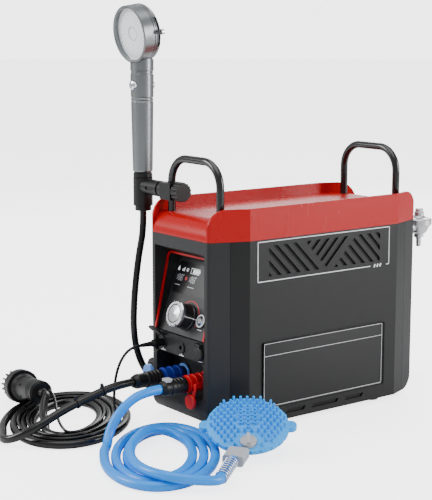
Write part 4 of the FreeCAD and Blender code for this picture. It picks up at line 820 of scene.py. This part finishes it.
def display_marks():
    """The row of icons, a flame between the readings and a short line under each reading."""
    marks = battery_mark()
    for i, tall in enumerate((0.0030, 0.0045, 0.0060)):
        marks.append(bar(LEVEL_X + i * 0.0022, 0.0970 + tall / 2, 0.0013, tall))
    marks.append(moved(arc_band(0.0022, 0.0006, points=32), CLOCK_X, ICONS_UP))
    marks.append(bar(CLOCK_X, ICONS_UP, 0.0010, 0.0030))
    shown(marks, "display_icons", "lit_white")
    shown([water_drop()], "display_drop", "lit_white")
    lines = [bar(x, CAPTIONS_UP, width, 0.0010, round_by=0.0003) for x, width in CAPTIONS]
    shown(lines, "display_captions", "lit_dim")
    flame = joined([arc_band(0.0020, 0.0007, points=24), bar(0, 0, 0.0012, 0.0060, round_by=0.0004)])
    shown([moved(flame, FLAME_X, DIGITS_UP)], "display_flame", "lit_red")


DROP_RADIUS = 0.0024
DROP_TALL = 0.0052


def water_drop():
    """A round drop drawn up to a point."""
    nothing_selected()
    bpy.ops.mesh.primitive_circle_add(vertices=32, radius=DROP_RADIUS, fill_type="NGON")
    drop = bpy.context.object
    for vertex in drop.data.vertices:
        if vertex.co.y > 0:
            share = vertex.co.y / DROP_RADIUS
            vertex.co.y = DROP_TALL * share
            vertex.co.x *= 1 - 0.55 * share
    applied(drop, "SOLIDIFY", thickness=PRINT, offset=0)
    drop.data.transform(Matrix.Translation((-0.0575, 0.0988, PRINT / 2)))
    return drop


PANEL_CAPTION = (0.0105, 0.0012)
AT_BUTTON = Matrix.Translation((BUTTON_ACROSS, CONTROLS_UP, 0))


def panel_prints():
    """The red scale arc round the knob, and the ring marks beside it."""
    arc = arc_band(0.0245, 0.0014, CLEAR, first=-25, last=180, points=144)
    around = Matrix.Translation((0, CONTROLS_UP, 0))
    settled(arc, "knob_scale_arc", "root", "red_print", PANEL @ around)
    marks = [arc_band(0.0068, 0.0009, CLEAR), arc_band(0.0028, 0.0007, CLEAR, points=32)]
    for k in range(6):
        tooth = bar(0.0044, 0, 0.0012, 0.0008, CLEAR)
        tooth.data.transform(Matrix.Rotation(math.radians(60 * k), 4, "Z"))
        marks.append(tooth)
    marks.append(bar(0, -0.0115, *PANEL_CAPTION, CLEAR, round_by=0.0004))
    at_left = Matrix.Translation((-BUTTON_ACROSS, CONTROLS_UP, 0))
    settled(joined(marks), "burner_mark", "root", "white_print", PANEL @ at_left)
    caption = bar(0, -0.0135, *PANEL_CAPTION, CLEAR, round_by=0.0004)
    settled(caption, "power_caption", "root", "white_print", PANEL @ AT_BUTTON)


BUTTON_FACE = 0.00455


def power_marks():
    """The white ring on the button's face, with its stroke, and the ring round the button."""
    ring = arc_band(0.0023, 0.0009, BUTTON_FACE, PRINT * 2, first=-230, last=50, points=48)
    stroke = bar(0, 0.0026, 0.0009, 0.0030, BUTTON_FACE, PRINT * 2)
    mark = joined([ring, stroke])
    settled(mark, "power_mark", "power_button", "white_print", PANEL @ AT_BUTTON)
    bezel = arc_band(0.0079, 0.0019, lift=0.0030, thick=0.0004)
    applied(bezel, "BEVEL", width=0.00012, segments=2, limit_method="ANGLE")
    settled(bezel, "power_bezel", "root", "white_print", PANEL @ AT_BUTTON)


def jack_labels():
    """Two short printed lines under each socket."""
    lines = []
    for x in (-0.048, 0, 0.048):
        lines.append(bar(x, 0.1098, 0.0036, 0.0011, CLEAR, round_by=0.0003))
        lines.append(bar(x, 0.1078, 0.0120, 0.0013, CLEAR, round_by=0.0004))
    settled(joined(lines), "socket_labels", "root", "white_print", STRIP)


# Handset and brush

SPRAY_RINGS = ((0.0145, 12), (0.0195, 18), (0.0245, 22), (0.0295, 26), (0.0345, 32))
PLATE_MIDDLE = -0.0088
PLATE_RISE = 0.0008 / 0.018
PLATE_RIM = -0.0081


def spray_nozzles():
    """Rings of small soft nozzles on the spray plate."""
    nozzle = knob_like(radius=0.00105, height=0.0011, top_radius=0.00075, sides=10)
    field = []
    for ring, (radius, count) in enumerate(SPRAY_RINGS):
        lift = min(PLATE_MIDDLE + PLATE_RISE * (radius - 0.012), PLATE_RIM)
        for k in range(count):
            angle = 2 * math.pi * (k + 0.5 * (ring % 2)) / count
            place = (radius * math.cos(angle), radius * math.sin(angle), lift)
            field.append(copied(nozzle, Matrix.Translation(place)))
    thrown_away(nozzle)
    settled(joined(field), "spray_nozzles", "handset", "grey_white", SPRAY)
    rim = arc_band(0.0398, 0.0006, lift=-0.0079, thick=0.0006, points=128)
    centre = arc_band(0.0098, 0.0010, lift=-0.0082, thick=0.0006, points=64)
    settled(joined([rim, centre]), "spray_rings", "handset", "bright_metal", SPRAY)


BRUSH_PROFILE = [(0.0, 0.012), (0.018, 0.0115), (0.036, 0.010), (0.052, 0.007), (0.059, 0.0035), (0.060, 0.0)]


def brush_height(radius):
    """How high the brush's dome stands at this distance from its middle."""
    for (r0, h0), (r1, h1) in zip(BRUSH_PROFILE, BRUSH_PROFILE[1:]):
        if radius <= r1:
            return h0 + (h1 - h0) * (radius - r0) / (r1 - r0)
    return 0.0


def leaning(radius, angle, sink):
    """A place on the brush's dome, square to it."""
    height = brush_height(radius) - sink
    slope = math.atan2(brush_height(max(radius - 0.003, 0)) - brush_height(min(radius + 0.003, 0.059)), 0.006)
    slope = min(slope, 0.9)
    out = Matrix.Rotation(angle, 4, "Z") @ Matrix.Translation((radius, 0, height))
    return out @ Matrix.Rotation(slope, 4, "Y")


PIN_PITCH = 0.0093
ROW_SHARE = 0.866
PIN_FIELD = 0.0520
VALVE_X = 0.043
THREE = (-0.0100, 0, 0.0100)
NOZZLE_ROWS = ((-0.0270, (0,)), (-0.0185, THREE), (-0.0100, THREE), (-0.0015, THREE), (0.0070, THREE),
               (0.0155, (0,)))


def keeps_clear(x, y):
    """Whether a pin may stand here: inside the rim, beside the nozzles and away from the valve knob."""
    among_nozzles = ((x + 0.0058) / 0.0270) ** 2 + (y / 0.0170) ** 2 < 1
    by_valve = math.hypot(x - VALVE_X, y) < 0.0170 or (x > 0.036 and abs(y) < 0.018)
    return math.hypot(x, y) < PIN_FIELD and not among_nozzles and not by_valve


def brush_pins():
    """The field of soft pins, and the ring nozzles in its middle."""
    pin = knob_like(radius=0.0024, height=0.0078, top_radius=0.0018, sides=12)
    field = []
    for row in range(-7, 8):
        for column in range(-7, 8):
            x = PIN_PITCH * ROW_SHARE * row
            y = PIN_PITCH * (column + 0.5 * (row % 2))
            if keeps_clear(x, y):
                field.append(copied(pin, leaning(math.hypot(x, y), math.atan2(y, x), 0.0006)))
    thrown_away(pin)
    settled(joined(field), "brush_pins", "root", "blue_silicone", BRUSH)
    nozzle = ring_nozzle(radius=0.0039, height=0.0040, wall=0.0012, sides=20)
    mouths = []
    for x, places in NOZZLE_ROWS:
        for y in places:
            mouths.append(copied(nozzle, leaning(math.hypot(x, y), math.atan2(y, x), 0.0005)))
    thrown_away(nozzle)
    settled(joined(mouths), "brush_nozzles", "root", "blue_silicone", BRUSH)


def studio_floor():
    nothing_selected()
    bpy.ops.mesh.primitive_circle_add(vertices=96, radius=26, fill_type="NGON", location=(0, 0, -0.0004))
    floor = bpy.context.object
    bpy.ops.object.transform_apply(location=True, rotation=True, scale=True)
    floor.name = "studio_floor"
    pale = Finish("studio_paper", (0.86, 0.865, 0.87), 0.6)
    cloud = pale.grain(0.5, 2.0)
    pale.feed("Base Color", pale.between(cloud, (0.855, 0.86, 0.865, 1), (0.865, 0.87, 0.875, 1)))
    pale.feed("Emission Strength", pale.node("ShaderNodeLightPath", {}, {}) * PAPER_IN_VIEW)
    floor.data.materials.append(pale.material)


aim_camera()
light_studio()
studio_floor()
finish_nodes()
lay_pump_hose()
lay_pump_cable()
lay_brush_hose()
lay_shower_hose()
for side, name in ((RIGHT_SIDE, "right"), (LEFT_SIDE, "left")):
    side_prints(side, name)
    side_label(side, name)
    # The near-black sheets behind the slots are painted shade.
    side_shade_sheet(side, name)
display_digits()
display_marks()
panel_prints()
power_marks()
jack_labels()
spray_nozzles()
brush_pins()
